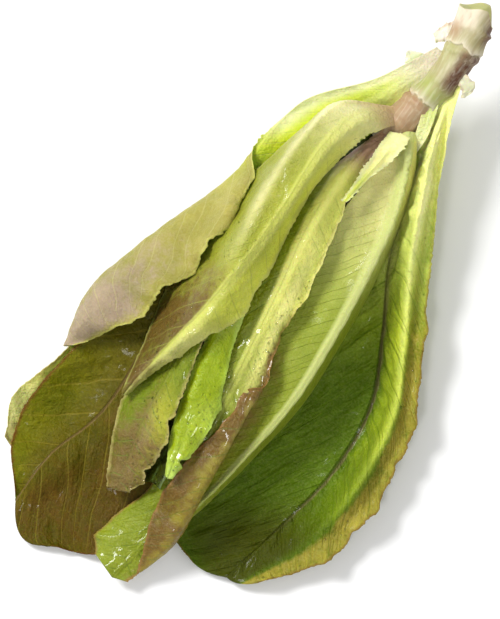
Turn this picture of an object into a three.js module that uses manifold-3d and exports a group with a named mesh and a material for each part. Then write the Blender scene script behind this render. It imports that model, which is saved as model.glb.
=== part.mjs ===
// A head of red-tinged loose leaf lettuce, cut from its root and laid on its side.
// Millimetres, +Z up. The head lies along Y: leaf tips towards -Y, the cut stem towards +Y.
// The lowest leaves touch the plane z = 0 on small flat spots under their midribs.
import * as THREE from "three";
import { mergeVertices } from "three/addons/utils/BufferGeometryUtils.js";
import Module from "manifold-3d";

const wasm = await Module();
wasm.setup();

// Driving dimensions
const bladeThickness = 0.8;
const leafGap = 1.2;
const stemGap = 0.3;
const flatDepth = 0.6;
const lengthSteps = 22;
const toothDepth = 1.3;
const ribSpread = { base: 5.5, tip: 1.4 };
const ribHeight = { base: 3.6, tip: 0.5 };
const rootFade = [0, 0.08];
const cell = 1.5;
const field = { x: -96, y: -165, columns: 152, rows: 240, spread: 4 };

// The stem: axis points from the growing tip to the cut end, and the radius at each
const stemAxis = [
  [7, 90, 30],
  [9, 99, 31.5],
  [12, 111, 33.5],
  [15, 124, 36],
  [18, 137, 39],
  [18.5, 149, 42],
  [17, 161, 45],
  [14, 173.5, 47.5],
];
const stemRadius = [3, 5.8, 8.2, 7.7, 7.8, 8.3, 8.6, 9.1];
const stemRings = 28;
const stemSides = 16;
// Leaf scars: place along the stem from tip to cut end, height of the ridge, direction it faces
const scars = [
  { at: 0.27, height: 0.9, facing: 1.2 },
  { at: 0.4, height: 1.3, facing: 2.6 },
  { at: 0.56, height: 0.8, facing: 0.4 },
  { at: 0.76, height: 1.4, facing: 0.9 },
  { at: 0.9, height: 1.3, facing: 0.1 },
];

// Each leaf: midrib, left and right margins as points from the base to the tip, listed side by side.
// side "inner" shows the leaf's inner face on top, with the rib swelling underneath.
const leaves = {
  under_leaf: {
    side: "inner",
    mid: [[17, 139, 33], [13, 113, 19], [7, 80, 7.5], [3, 40, 2], [0, -5, 1.2], [-2, -48, 1.4], [-2, -84, 3],
      [-2, -101, 5]],
    left: [[12, 138, 33], [2, 112, 20], [-14, 80, 12], [-26, 40, 7], [-32, -5, 5], [-28, -52, 5], [-18, -88, 6],
      [-6, -101, 6]],
    right: [[22, 137, 34], [22, 110, 21], [26, 76, 10], [29, 36, 3.5], [28, -10, 2.2], [23, -54, 2.2], [12, -88, 4],
      [3, -101, 6]],
    sag: [-1, -1],
    waves: { height: 1.2, count: 6, start: 0.3 },
  },
  left_tip_leaf: {
    side: "inner",
    mid: [[13, 127, 34], [2, 98, 20], [-12, 58, 9], [-28, 12, 2.4], [-42, -35, 0.4], [-50, -76, 0.6], [-55, -103, 3.5],
      [-55, -118, 7]],
    left: [[7, 128, 35], [-8, 101, 23], [-30, 64, 14], [-48, 20, 10], [-58, -26, 8], [-62, -68, 8],
      [-69.5, -95, 10], [-63, -114.5, 9]],
    right: [[18, 124, 34], [9, 92, 19], [3, 50, 9], [-5, 2, 5], [-15, -45, 4], [-28, -85, 3], [-36, -110, 4],
      [-46, -121, 7]],
    sag: [-1, -0.5],
    waves: { height: 1.4, count: 7, start: 1.2 },
  },
  wrap_leaf: {
    side: "inner",
    mid: [[13, 147, 42], [3, 123, 32], [-12, 98, 21], [-22, 72, 12], [-30, 46, 7], [-38, 20, 4], [-46, -6, 3],
      [-52, -34, 3.5], [-57, -60, 6]],
    left: [[7, 148, 45], [-8, 122, 37], [-31, 97, 27], [-38, 72, 18], [-41, 46, 12], [-50.5, 20, 9],
      [-60, -6, 8], [-67.5, -36, 8], [-63, -64, 9]],
    right: [[17, 143, 39], [10, 118, 28], [3, 92, 17], [-4, 66, 10], [-10, 40, 7], [-17, 14, 5], [-25, -14, 4],
      [-36, -42, 5], [-51, -62, 7]],
    sag: [-2, -1],
    roll: { side: -1, from: 0.38, full: 0.78, release: 0.84, to: 1, radius: 9.5, turn: 180, flap: 17 },
    waves: { height: 1.6, count: 9, start: 0 },
  },
  right_leaf: {
    side: "inner",
    mid: [[21, 139, 40], [28, 112, 30], [35, 84, 20], [44, 54, 10], [60, 24, 2.4], [73.5, -6, 0.3], [76, -40, 0],
      [71, -70, 1], [62, -108, 6]],
    left: [[17, 134, 37], [18, 108, 24], [19, 78, 12], [18, 42, 8], [12, 0, 6], [8, -40, 6], [8, -76, 6],
      [18, -104, 6], [44, -115, 6]],
    right: [[26, 141, 43], [34, 116, 38], [47, 88, 32], [63, 58, 26], [82, 22, 21], [97, -10, 18], [101, -50, 16],
      [96, -80, 13], [74, -107, 8]],
    sag: [-1.5, -1],
    ridge: { side: 1, at: 0.5, width: 0.22, height: 13 },
    waves: { height: 1.3, count: 10, start: 2 },
  },
  dark_leaf: {
    side: "inner",
    mid: [[12, 113, 30], [2, 88, 21], [-14, 52, 13], [-28, 18, 9], [-35, -14, 8], [-31, -48, 7], [-31, -80, 6],
      [-38, -108, 4], [-36, -140, 5]],
    left: [[7, 113, 31], [-9, 88, 25], [-28, 54, 20], [-42, 20, 15], [-50, -12, 13], [-55, -46, 12],
      [-60, -80, 11], [-57, -107, 8], [-44, -134, 7]],
    right: [[16, 110, 30], [14, 84, 22], [12, 48, 15], [10, 10, 13], [10, -30, 12], [11, -66, 11], [12, -100, 9],
      [7, -134, 6], [-18, -146, 5]],
    sag: [-1.5, -1],
    waves: { height: 1.5, count: 8, start: 0.8 },
  },
  heart_leaf: {
    side: "inner",
    mid: [[18, 128, 32], [22, 119, 30.5], [24, 110, 30], [24.5, 102, 29.5]],
    left: [[15, 127, 32], [19, 118, 31.5], [21.5, 109, 31], [23.5, 102.5, 30]],
    right: [[21, 129, 32], [25, 120, 31.5], [26.5, 111, 31], [25.8, 102.5, 30]],
    ribScale: 0.35,
    toothScale: 0.15,
    steps: 8,
    sag: [0, 0],
    waves: { height: 0.2, count: 2, start: 0 },
  },
  folded_leaf: {
    side: "outer",
    mid: [[18, 107, 35], [27.5, 91, 41], [35, 68, 42], [39.5, 38, 40], [42.3, 5, 37], [42.8, -28, 33],
      [37.8, -62, 27], [32.5, -88, 19], [28, -102, 14]],
    left: [[15, 104, 36], [15, 88, 38], [12, 60, 38], [9, 28, 35], [8, -8, 32], [10, -42, 28], [14, -72, 23],
      [20, -92, 17], [25, -103, 14]],
    right: [[21, 110, 32], [30.5, 94, 28], [38, 71, 22], [43, 41, 17], [45.5, 7, 14], [46, -25, 13],
      [40.5, -60, 12], [35, -86, 12], [31, -101, 13]],
    sag: [-4, 2],
    waves: { height: 1, count: 8, start: 1 },
  },
  center_leaf: {
    side: "inner",
    mid: [[11, 104, 35], [5, 86, 42], [2.5, 66, 45], [4, 40, 45], [8.5, 12, 43], [12, -16, 40], [16, -48, 35],
      [20, -84, 26], [21, -113, 16], [16, -142, 10]],
    left: [[7, 102, 36], [0, 84, 42], [-7, 62, 43], [-10, 32, 41], [-10, 2, 38], [-6, -30, 34], [-2, -62, 28],
      [0, -95, 18], [-1.5, -123, 11], [5, -139, 9]],
    right: [[14, 106, 37], [10, 88, 43], [11.5, 64, 46], [17, 40, 46], [20, 10, 44], [24, -18, 41],
      [28.5, -50, 36], [31, -84, 27], [32.5, -113, 16], [23, -140, 10]],
    sag: [2, -0.5],
    roll: { side: 1, from: 0.04, full: 0.36, release: 0.74, to: 0.93, radius: 4.2, turn: 190, flap: 7 },
    waves: { height: 1.1, count: 9, start: 0 },
  },
  deep_leaf: {
    side: "inner",
    mid: [[3, 98, 33], [-9, 66, 46], [-12, 30, 46], [-7, -12, 43], [2, -60, 32], [8, -95, 22]],
    left: [[0, 98, 33], [-15, 66, 45], [-19, 30, 44], [-14, -14, 41], [-6, -62, 30], [3.5, -97, 21]],
    right: [[5, 97, 33], [-5, 64, 46], [-6, 28, 46], [0, -16, 43], [10, -64, 33], [13, -96, 23]],
    ribScale: 0.5,
    sag: [0.5, 0.5],
    waves: { height: 0.6, count: 6, start: 0 },
  },
  bright_leaf: {
    side: "outer",
    mid: [[2, 100, 34], [-8, 74, 48], [-11, 44, 49], [-9, 14, 48], [-3, -14, 46], [1.5, -34, 43], [7, -60, 36],
      [11, -78, 30], [13.5, -90, 25]],
    left: [[0, 100, 34], [-13, 74, 46], [-18, 44, 46], [-17, 14, 45], [-9, -14, 43], [-6, -34, 40], [0, -62, 33],
      [6.5, -79, 28], [11.5, -89.5, 24]],
    right: [[4, 99, 34], [-4, 72, 47], [-5, 42, 47], [-3, 12, 46], [3, -14, 44], [9.5, -35, 41], [17, -58, 35],
      [16.5, -77, 29], [15.5, -89, 25]],
    ribScale: 0.5,
    sag: [1.5, 1],
    waves: { height: 1, count: 8, start: 0.5 },
  },
  bronze_leaf: {
    side: "outer",
    mid: [[3, 103, 35], [-11, 78, 46], [-16, 46, 47], [-17, 14, 46], [-16, -18, 44], [-13, -46, 40],
      [-11, -74, 32], [-6, -98, 23], [-4, -107, 20]],
    left: [[0, 104, 35], [-16, 80, 42], [-22, 48, 38], [-23, 14, 35], [-23, -16, 34], [-23, -46, 31],
      [-25, -72, 25], [-15.5, -96, 19], [-9.5, -108, 18]],
    right: [[6, 101, 35], [-7, 76, 46], [-11, 44, 48], [-11, 12, 47], [-8, -20, 45], [-3.5, -48, 40],
      [2.5, -74, 33], [4, -94, 24], [2, -104.5, 20]],
    ribScale: 0.5,
    sag: [2, 0.5],
    waves: { height: 1.3, count: 9, start: 1 },
  },
  top_leaf: {
    side: "outer",
    mid: [[10, 112, 36], [-5, 99, 49], [-10, 78, 55], [-10, 48, 57], [-11, 18, 56], [-14, -12, 52],
      [-18.5, -36, 45], [-23.5, -55, 37], [-26, -69, 31]],
    left: [[7, 115, 36], [-17, 101, 40], [-25, 80, 32], [-33, 50, 23], [-38, 20, 20], [-37.5, -12, 21],
      [-33, -36, 24], [-29.5, -54, 28], [-27.5, -67, 29]],
    right: [[12, 108, 37], [3, 97, 46], [-2, 78, 51], [-4, 48, 53], [0, 16, 52], [-1, -12, 48], [-12, -37, 41],
      [-20.3, -54, 35], [-24.5, -68, 30]],
    sag: [3.5, 1.5],
    waves: { height: 1.2, count: 10, start: 0 },
  },
};
// Torn remains of lost leaves that grow from the stem, given like the leaves
const remains = [
  {
    side: "outer",
    mid: [[15, 158, 45], [8, 156, 46], [5, 153, 44], [4.6, 148.5, 41]],
    left: [[14, 164, 46], [6.5, 160, 45.5], [3, 154.5, 42.5], [3.2, 149, 40]],
    right: [[17, 153, 44], [9.5, 151.5, 45], [7, 150.5, 43.5], [6.2, 148, 41]],
  },
  {
    side: "outer",
    mid: [[18, 149, 44], [26, 146, 46], [30, 142, 45], [30.2, 137, 42]],
    left: [[17, 143, 43], [25, 141.5, 45], [28, 139.5, 44], [28.8, 136.5, 42]],
    right: [[19, 155, 44], [27.5, 150, 47], [32, 143, 46], [31.6, 137, 42]],
  },
];
// Bottom to top, as the leaves lie on each other
const pile = ["under_leaf", "left_tip_leaf", "wrap_leaf", "right_leaf", "dark_leaf", "heart_leaf", "stem",
  "folded_leaf", "center_leaf", "deep_leaf", "bright_leaf", "bronze_leaf", "top_leaf"];

const materials = {
  under_leaf: [0.56, 0.62, 0.2],
  left_tip_leaf: [0.55, 0.58, 0.22],
  wrap_leaf: [0.66, 0.64, 0.36],
  right_leaf: [0.22, 0.4, 0.04],
  dark_leaf: [0.26, 0.23, 0.02],
  heart_leaf: [0.5, 0.58, 0.16],
  deep_leaf: [0.12, 0.25, 0.03],
  folded_leaf: [0.5, 0.55, 0.16],
  center_leaf: [0.62, 0.68, 0.16],
  bright_leaf: [0.4, 0.6, 0.05],
  bronze_leaf: [0.52, 0.48, 0.2],
  top_leaf: [0.58, 0.64, 0.24],
  stem: [0.74, 0.66, 0.52],
};

// Small helpers
const clamp = (v, low, high) => Math.min(high, Math.max(low, v));
const mix = (a, b, t) => a + (b - a) * t;
const smooth = (from, to, v) => {
  const t = clamp((v - from) / (to - from), 0, 1);
  return t * t * (3 - 2 * t);
};
const degrees = Math.PI / 180;

// A point on the smooth curve through evenly numbered points, for s from 0 to 1
function along(points, s) {
  const last = points.length - 1;
  const i = Math.min(Math.floor(s * last), last - 1);
  const t = s * last - i;
  const size = points[0].length ?? 0;
  const blend = (a, b, c, d) => {
    const m0 = (c - a) / 2;
    const m1 = (d - b) / 2;
    const t2 = t * t;
    const t3 = t2 * t;
    return (2 * t3 - 3 * t2 + 1) * b + (t3 - 2 * t2 + t) * m0 + (3 * t2 - 2 * t3) * c + (t3 - t2) * m1;
  };
  const beyond = (p, q) => (size ? p.map((v, k) => 2 * v - q[k]) : 2 * p - q);
  const before = i > 0 ? points[i - 1] : beyond(points[0], points[1]);
  const after = i < last - 1 ? points[i + 2] : beyond(points[last], points[last - 1]);
  const [b, c] = [points[i], points[i + 1]];
  return size ? b.map((v, k) => blend(before[k], v, c[k], after[k])) : blend(before, b, c, after);
}

// How far a rolled margin has turned at s, in radians, with the flap that follows the turn
function rollAt(leaf, s, side) {
  const roll = leaf.roll;
  if (!roll || roll.side !== side) return { radius: 0, turn: 0, flap: 0, fold: 0 };
  const share = smooth(roll.from, roll.full, s) * (1 - smooth(roll.release, roll.to, s));
  const turn = roll.turn * degrees * smooth(0, 0.15, share);
  return { radius: roll.radius * share, turn, flap: roll.flap * share, fold: share };
}

// The leaf's cross-section at s on one side: its whole length, and the point at a distance from the midrib
function crossSection(leaf, s, side) {
  const mid = along(leaf.mid, s);
  const edge = along(side < 0 ? leaf.left : leaf.right, s);
  const dx = edge[0] - mid[0];
  const dy = edge[1] - mid[1];
  const width = Math.hypot(dx, dy);
  const { radius, turn, flap, fold } = rollAt(leaf, s, side);
  const drop = edge[2] - mid[2];
  const flat = Math.max(width - radius, 0.5);
  const slant = Math.hypot(flat, drop);
  const length = slant + radius * turn + flap;
  const sag = leaf.sag[side < 0 ? 0 : 1];
  const ridge = leaf.ridge && leaf.ridge.side === side ? leaf.ridge : null;
  const at = (distance) => {
    const share = clamp(distance / slant, 0, 1);
    let out = flat * share;
    let z = mid[2] + drop * share + sag * 4 * share * (1 - share) * smooth(0, 0.15, s);
    if (ridge) {
      const off = (share - ridge.at) / ridge.width;
      z += ridge.height * Math.exp(-off * off) * smooth(0.1, 0.3, s) * (1 - smooth(0.75, 0.95, s));
    }
    const angle = radius > 0 ? clamp((distance - slant) / radius, 0, turn) : 0;
    out += radius * Math.sin(angle);
    z += radius * (1 - Math.cos(angle));
    const beyond = Math.max(distance - slant - radius * turn, 0);
    out += beyond * Math.cos(angle);
    z += beyond * Math.sin(angle);
    const [x, y] = [mid[0] + (dx / width) * out, mid[1] + (dy / width) * out];
    return { x, y, z, angle, fold, share: distance / length };
  };
  return { length, at };
}

// Soft waves in a leaf's margin
function wave(leaf, s, share, side) {
  const { height, count, start } = leaf.waves;
  const swing = Math.sin(2 * Math.PI * count * s + start + side) + 0.5 * Math.sin(11.3 * count * s + 2 * start);
  return height * swing * share * share * smooth(0.15, 0.4, s);
}

// The rib's half width and height at s
function ribAt(leaf, s) {
  const scale = leaf.ribScale ?? 1;
  const half = mix(ribSpread.base, ribSpread.tip, Math.sqrt(s)) * scale;
  return { half, height: mix(ribHeight.base, ribHeight.tip, Math.sqrt(s)) * scale };
}

// The ragged margin: how far it stands out at row i
const ragged = (i, seed) => toothDepth * (i % 2) * (0.6 + 0.8 * Math.abs(Math.sin(i * 12.9898 + seed * 78.233)));

// Heights that the pile has reached, and the lift that clears them, on a square grid
const makeField = (value) => new Float32Array(field.columns * field.rows).fill(value);
const spot = (x, y) => {
  const i = clamp(Math.round((x - field.x) / cell), 0, field.columns - 1);
  const j = clamp(Math.round((y - field.y) / cell), 0, field.rows - 1);
  return j * field.columns + i;
};
function sweep(grid, radius, step, count, other, otherStep, combine) {
  const out = makeField(0);
  for (let k = 0; k < other; k++) {
    for (let i = 0; i < count; i++) {
      const values = [];
      for (let d = -radius; d <= radius; d++) values.push(grid[k * otherStep + clamp(i + d, 0, count - 1) * step]);
      out[k * otherStep + i * step] = combine(values);
    }
  }
  return out;
}
const both = (grid, radius, combine) => {
  const { columns, rows } = field;
  const wide = sweep(grid, radius, 1, columns, rows, columns, combine);
  return sweep(wide, radius, columns, rows, columns, 1, combine);
};
const highest = (values) => Math.max(...values);
const mean = (values) => values.reduce((a, b) => a + b, 0) / values.length;

function readField(grid, x, y) {
  const gx = clamp((x - field.x) / cell, 0, field.columns - 1.001);
  const gy = clamp((y - field.y) / cell, 0, field.rows - 1.001);
  const i = Math.floor(gx);
  const j = Math.floor(gy);
  const at = j * field.columns + i;
  const low = mix(grid[at], grid[at + 1], gx - i);
  const high = mix(grid[at + field.columns], grid[at + field.columns + 1], gx - i);
  return mix(low, high, gy - j);
}

// Points over the whole leaf, close enough to touch every cell that it covers
const samples = { length: 220, across: 48 };
function eachSample(leaf, visit) {
  for (let i = 0; i <= samples.length; i++) {
    const s = i / samples.length;
    const rib = ribAt(leaf, s);
    for (const side of [-1, 1]) {
      const section = crossSection(leaf, s, side);
      for (let k = 0; k <= samples.across; k++) {
        const distance = (section.length * k) / samples.across;
        const p = section.at(distance);
        p.z += wave(leaf, s, p.share, side);
        const swell = rib.height * Math.max(1 - distance / rib.half, 0);
        visit(s, p, swell);
      }
    }
  }
}

// The lift field that carries a leaf clear of what lies below it
function liftOver(leaf, heights, counts, spread = field.spread) {
  const need = makeField(0);
  eachSample(leaf, (s, p, swell) => {
    if (!counts(p)) return;
    const below = bladeThickness / 2 + (leaf.side === "inner" ? swell : 0);
    const lack = heights[spot(p.x, p.y)] + leafGap + below - (p.z + (leaf.lift ? leafLift(leaf, s, p) : 0));
    const here = spot(p.x, p.y);
    need[here] = Math.max(need[here], lack * smooth(...rootFade, s));
  });
  const wide = both(need, spread, highest);
  return both(both(wide, spread / 2, mean), spread / 2, mean);
}
function leafLift(leaf, s, p) {
  const share = smooth(45 * degrees, 130 * degrees, p.angle) * smooth(0.1, 0.6, p.fold);
  const low = leaf.lift ? readField(leaf.lift, p.x, p.y) : 0;
  const high = leaf.flapLift ? readField(leaf.flapLift, p.x, p.y) : 0;
  return low + high * share;
}
function raiseHeights(leaf, heights, counts) {
  const reached = makeField(-leafGap - flatDepth);
  eachSample(leaf, (s, p, swell) => {
    if (!counts(p)) return;
    const above = bladeThickness / 2 + (leaf.side === "outer" ? swell : 0);
    const here = spot(p.x, p.y);
    reached[here] = Math.max(reached[here], p.z + leafLift(leaf, s, p) + above);
  });
  const wide = both(reached, 1, highest);
  wide.forEach((z, k) => (heights[k] = Math.max(heights[k], z)));
}

// Distances from the midrib to each column of the mesh on one side, as shares of the cross-section
function columnsOf(leaf, s, side, columns) {
  const { length } = crossSection(leaf, s, side);
  const rib = Math.min(ribAt(leaf, s).half, length * 0.4);
  const count = leaf.roll && leaf.roll.side === side ? 9 : columns;
  return Array.from({ length: count }, (_, k) => mix(rib, length, k / (count - 1)));
}

// A leaf as a closed shell: rows of points on the blade's middle, set off to both faces
function leafSolid(leaf, seed, grow = 0, steps = lengthSteps, columns = 4) {
  const rows = [];
  for (let i = 0; i <= steps; i++) {
    const s = i / steps;
    const rib = ribAt(leaf, s);
    const row = [];
    const place = (side, distance, isEdge) => {
      const section = crossSection(leaf, s, side);
      const p = section.at(distance);
      const lift = leafLift(leaf, s, p);
      const swell = rib.height * Math.max(1 - distance / rib.half, 0);
      const point = new THREE.Vector3(p.x, p.y, p.z + wave(leaf, s, p.share, side) + lift);
      if (isEdge) {
        const inner = section.at(distance - 0.5);
        const out = new THREE.Vector3(p.x - inner.x, p.y - inner.y, p.z - inner.z).normalize();
        const grows = smooth(0.12, 0.3, s) * ragged(i, seed + side) * (leaf.toothScale ?? 1);
        point.addScaledVector(out, grows + grow);
      }
      row.push({ point, swell });
    };
    const left = columnsOf(leaf, s, -1, columns);
    const right = columnsOf(leaf, s, 1, columns);
    left.toReversed().forEach((d, k) => place(-1, d, k === 0));
    place(1, 0, false);
    right.forEach((d, k) => place(1, d, k === right.length - 1));
    rows.push(row);
  }
  const wide = rows[0].length;
  const normals = rows.map((row, i) =>
    row.map((_, k) => {
      const down = rows[Math.min(i + 1, steps)][k].point.clone().sub(rows[Math.max(i - 1, 0)][k].point);
      const over = row[Math.min(k + 1, wide - 1)].point.clone().sub(row[Math.max(k - 1, 0)].point);
      return down.cross(over).normalize();
    }),
  );
  const half = bladeThickness / 2 + grow;
  const positions = [];
  for (const face of [1, -1]) {
    rows.forEach((row, i) =>
      row.forEach(({ point, swell }, k) => {
        const swollen = (leaf.side === "outer") === (face > 0) ? swell : 0;
        const p = point.clone().addScaledVector(normals[i][k], face * (half + swollen));
        positions.push(p.x, p.y, p.z);
      }),
    );
  }
  const count = rows.length * wide;
  const faces = [];
  const quad = (a, b, c, d) => faces.push(a, b, c, a, c, d);
  for (let i = 0; i < steps; i++) {
    for (let k = 0; k < wide - 1; k++) {
      const a = i * wide + k;
      quad(a, a + wide, a + wide + 1, a + 1);
      faces.push(a + count, a + wide + 1 + count, a + wide + count, a + count, a + 1 + count, a + wide + 1 + count);
    }
    const l = i * wide;
    const r = l + wide - 1;
    quad(l + count, l + wide + count, l + wide, l);
    quad(r, r + wide, r + wide + count, r + count);
  }
  for (let k = 0; k < wide - 1; k++) {
    const end = steps * wide + k;
    quad(k + count, k, k + 1, k + 1 + count);
    quad(end, end + count, end + count + 1, end + 1);
  }
  return solidFrom(positions, faces);
}

// The stem: a tapered stalk with leaf scars, cut square at its far end
function stemSolid(grow = 0) {
  const positions = [];
  const faces = [];
  const point = (s) => new THREE.Vector3(...along(stemAxis, s));
  for (let i = 0; i <= stemRings; i++) {
    const s = i / stemRings;
    const centre = point(s);
    const ahead = point(Math.min(s + 0.02, 1)).sub(point(Math.max(s - 0.02, 0))).normalize();
    const side = new THREE.Vector3().crossVectors(ahead, new THREE.Vector3(0, 0, 1)).normalize();
    const up = new THREE.Vector3().crossVectors(side, ahead);
    const radius = along(stemRadius, s);
    for (let k = 0; k < stemSides; k++) {
      const angle = (2 * Math.PI * k) / stemSides;
      let r = radius * (1 + 0.05 * Math.cos(3 * angle + 4 * s)) + grow;
      for (const scar of scars) {
        const near = Math.exp(-(((s - scar.at) / 0.022) ** 2));
        r += scar.height * near * (0.55 + 0.45 * Math.cos(angle - scar.facing));
      }
      const p = centre.clone().addScaledVector(side, r * Math.cos(angle)).addScaledVector(up, r * Math.sin(angle));
      positions.push(p.x, p.y, p.z);
    }
  }
  for (const end of [0, 1]) {
    const p = point(end);
    positions.push(p.x, p.y, p.z);
  }
  const tip = (stemRings + 1) * stemSides;
  for (let k = 0; k < stemSides; k++) {
    const next = (k + 1) % stemSides;
    for (let i = 0; i < stemRings; i++) {
      const a = i * stemSides;
      const b = a + stemSides;
      faces.push(a + k, b + next, a + next, a + k, b + k, b + next);
    }
    const far = stemRings * stemSides;
    faces.push(tip, k, next, tip + 1, far + next, far + k);
  }
  return solidFrom(positions, faces);
}

function solidFrom(positions, faces) {
  const shell = new THREE.BufferGeometry();
  shell.setAttribute("position", new THREE.Float32BufferAttribute(positions, 3));
  shell.setIndex(faces);
  const merged = mergeVertices(shell, 1e-4);
  const mesh = new wasm.Mesh({
    numProp: 3,
    vertProperties: merged.attributes.position.array,
    triVerts: new Uint32Array(merged.index.array),
  });
  return new wasm.Manifold(mesh);
}

// The stem together with the torn remains that grow from it
function wholeStem(grow = 0) {
  const plain = { ribScale: 0.3, sag: [0, 0], waves: { height: 0, count: 1, start: 0 } };
  const torn = remains.map((piece, k) => leafSolid({ ...plain, ...piece }, k, grow, 6, 2));
  return torn.reduce((whole, piece) => whole.add(piece), stemSolid(grow));
}

// Everything under the plane z = 0, which takes a real flat off the lowest ribs
function underPlane() {
  const slab = new THREE.BoxGeometry(400, 500, 40).translate(0, 0, -20);
  return solidFrom(slab.attributes.position.array, Array.from(slab.index.array));
}

const largest = (solid) => solid.decompose().sort((a, b) => b.volume() - a.volume())[0];

function meshOf(solid, name) {
  const { vertProperties, triVerts, numProp, numVert } = solid.getMesh();
  const position = new Float32Array(numVert * 3);
  for (let i = 0; i < numVert; i++) position.set(vertProperties.subarray(i * numProp, i * numProp + 3), i * 3);
  const geometry = new THREE.BufferGeometry();
  geometry.setAttribute("position", new THREE.BufferAttribute(position, 3));
  geometry.setIndex(new THREE.BufferAttribute(triVerts, 1));
  geometry.computeVertexNormals();
  const color = new THREE.Color(...materials[name]);
  const mesh = new THREE.Mesh(geometry, new THREE.MeshStandardMaterial({ color, roughness: 0.45, metalness: 0 }));
  mesh.name = name;
  return mesh;
}

// Lay the pile: each leaf is lifted clear of those below, and the wrapping flap comes last
const heights = makeField(-leafGap - flatDepth);
const beforeFlap = (p) => p.angle < 50 * degrees;
for (const name of pile) {
  if (name === "stem") {
    for (let i = 0; i <= 200; i++) {
      const [x, y, z] = along(stemAxis, i / 200);
      const radius = along(stemRadius, i / 200);
      for (let out = -radius; out <= radius; out += 0.5) {
        const here = spot(x + out, y);
        heights[here] = Math.max(heights[here], z + Math.sqrt(radius * radius - out * out));
      }
    }
    continue;
  }
  const leaf = leaves[name];
  const counts = name === "wrap_leaf" ? beforeFlap : () => true;
  leaf.lift = liftOver(leaf, heights, counts);
  raiseHeights(leaf, heights, counts);
}
const wrap = leaves.wrap_leaf;
wrap.flapLift = liftOver(wrap, heights, (p) => p.angle > 100 * degrees, 2);

// Build the solids, keep each clear of the stem and of the leaves below it
const seedOf = (name) => pile.indexOf(name);
const table = underPlane();
const stem = wholeStem();
const wideStem = wholeStem(stemGap);
const solids = new Map([["stem", stem]]);
const grown = [];
for (const name of pile.filter((n) => n !== "stem")) {
  let solid = leafSolid(leaves[name], seedOf(name), 0, leaves[name].steps).subtract(wideStem).subtract(table);
  for (const other of grown) {
    for (const body of [other.wide, other.solid]) {
      if (solid.intersect(body).volume() > 0) solid = solid.subtract(body);
    }
  }
  solids.set(name, largest(solid));
  const wide = leafSolid(leaves[name], seedOf(name), stemGap, leaves[name].steps);
  grown.push({ wide, solid: solids.get(name) });
}

const head = new THREE.Group();
for (const [name, solid] of solids) head.add(meshOf(solid, name));
const box = new THREE.Box3().setFromObject(head);
const centre = box.getCenter(new THREE.Vector3());
head.position.set(-centre.x, -centre.y, -box.min.z);

export default head;
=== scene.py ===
import math
import bpy
import numpy as np
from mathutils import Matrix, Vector


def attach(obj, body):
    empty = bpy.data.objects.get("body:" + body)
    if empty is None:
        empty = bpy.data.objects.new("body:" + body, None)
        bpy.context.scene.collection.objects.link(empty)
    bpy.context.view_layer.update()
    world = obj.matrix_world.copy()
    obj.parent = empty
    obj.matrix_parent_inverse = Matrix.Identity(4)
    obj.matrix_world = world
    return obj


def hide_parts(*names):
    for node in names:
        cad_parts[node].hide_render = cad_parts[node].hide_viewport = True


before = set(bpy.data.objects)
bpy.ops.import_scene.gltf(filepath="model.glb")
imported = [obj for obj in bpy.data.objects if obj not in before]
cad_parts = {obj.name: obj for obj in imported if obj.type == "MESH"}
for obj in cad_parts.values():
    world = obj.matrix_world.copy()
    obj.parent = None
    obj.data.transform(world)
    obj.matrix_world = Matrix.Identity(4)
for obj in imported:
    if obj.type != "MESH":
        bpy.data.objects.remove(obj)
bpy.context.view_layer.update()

# Sizes are in millimetres in the head's own plan, and planShift brings them to the frame's origin
planShift = np.array([-15.33, -15.0, 0.0])
perMetre = 1000
mm = 0.001
bladeThickness = 0.8
leafGap = 1.2
flatDepth = 0.6
ribSpread = (5.5, 1.4)
ribHeight = (3.6, 0.5)
leafSamples = (221, 49)  # how finely a leaf and the stem are read when the pile is laid
stemSamples = (201, 41)
pileGrid = {"x": -96, "y": -165, "columns": 152, "rows": 240, "cell": 1.5}


# Small helpers

def smooth(low, high, v):
    t = np.clip((v - low) / (high - low), 0, 1)
    return t * t * (3 - 2 * t)


def bump(centre, width, v):
    return np.exp(-((v - centre) / width) ** 2)


def along(points, s):
    # the smooth curve through evenly numbered points, for s from 0 to 1
    p = np.asarray(points, float)
    last = len(p) - 1
    x = np.clip(s, 0, 1) * last
    i = np.minimum(x.astype(int), last - 1)
    t = (x - i)[:, None]
    wide = np.vstack([2 * p[0] - p[1], p, 2 * p[-1] - p[-2]])
    a, b, c, d = wide[i], wide[i + 1], wide[i + 2], wide[i + 3]
    leave, arrive = (c - a) / 2, (d - b) / 2
    t2, t3 = t * t, t * t * t
    return (2 * t3 - 3 * t2 + 1) * b + (t3 - 2 * t2 + t) * leave + (3 * t2 - 2 * t3) * c + (t3 - t2) * arrive


def grain(x, y, size, seed):
    # smooth random heights between -1 and 1, in bumps about size across
    lattice = np.random.default_rng(seed).uniform(-1, 1, (128, 128))
    gx, gy = x / size, y / size
    i, j = np.floor(gx).astype(int), np.floor(gy).astype(int)
    fx, fy = gx - i, gy - j
    fx, fy = fx * fx * (3 - 2 * fx), fy * fy * (3 - 2 * fy)
    low = lattice[j % 128, i % 128] * (1 - fx) + lattice[j % 128, (i + 1) % 128] * fx
    high = lattice[(j + 1) % 128, i % 128] * (1 - fx) + lattice[(j + 1) % 128, (i + 1) % 128] * fx
    return low * (1 - fy) + high * fy


# Leaves. mid, left and right are points from the base to the tip, and sag lowers or lifts each half.
# waves: height, number and start. detail: rows, and columns in each half. teeth: depth and spacing.
# bites, where a margin stands out (+) or is torn in (-): side, place along, width and depth.
# veins: spacing, lean and depth. band, the pale midrib: half its width at base and tip, and strength.
# swell: the rib's width and height. wrinkles: depth, how dense, length, and how far across they run.
# paint gives masks over s, from base to tip, and t, from the left margin (-1) to the right one (1).
rose = (176, 140, 114)  # the pinkish tone of a leaf's foot

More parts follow.
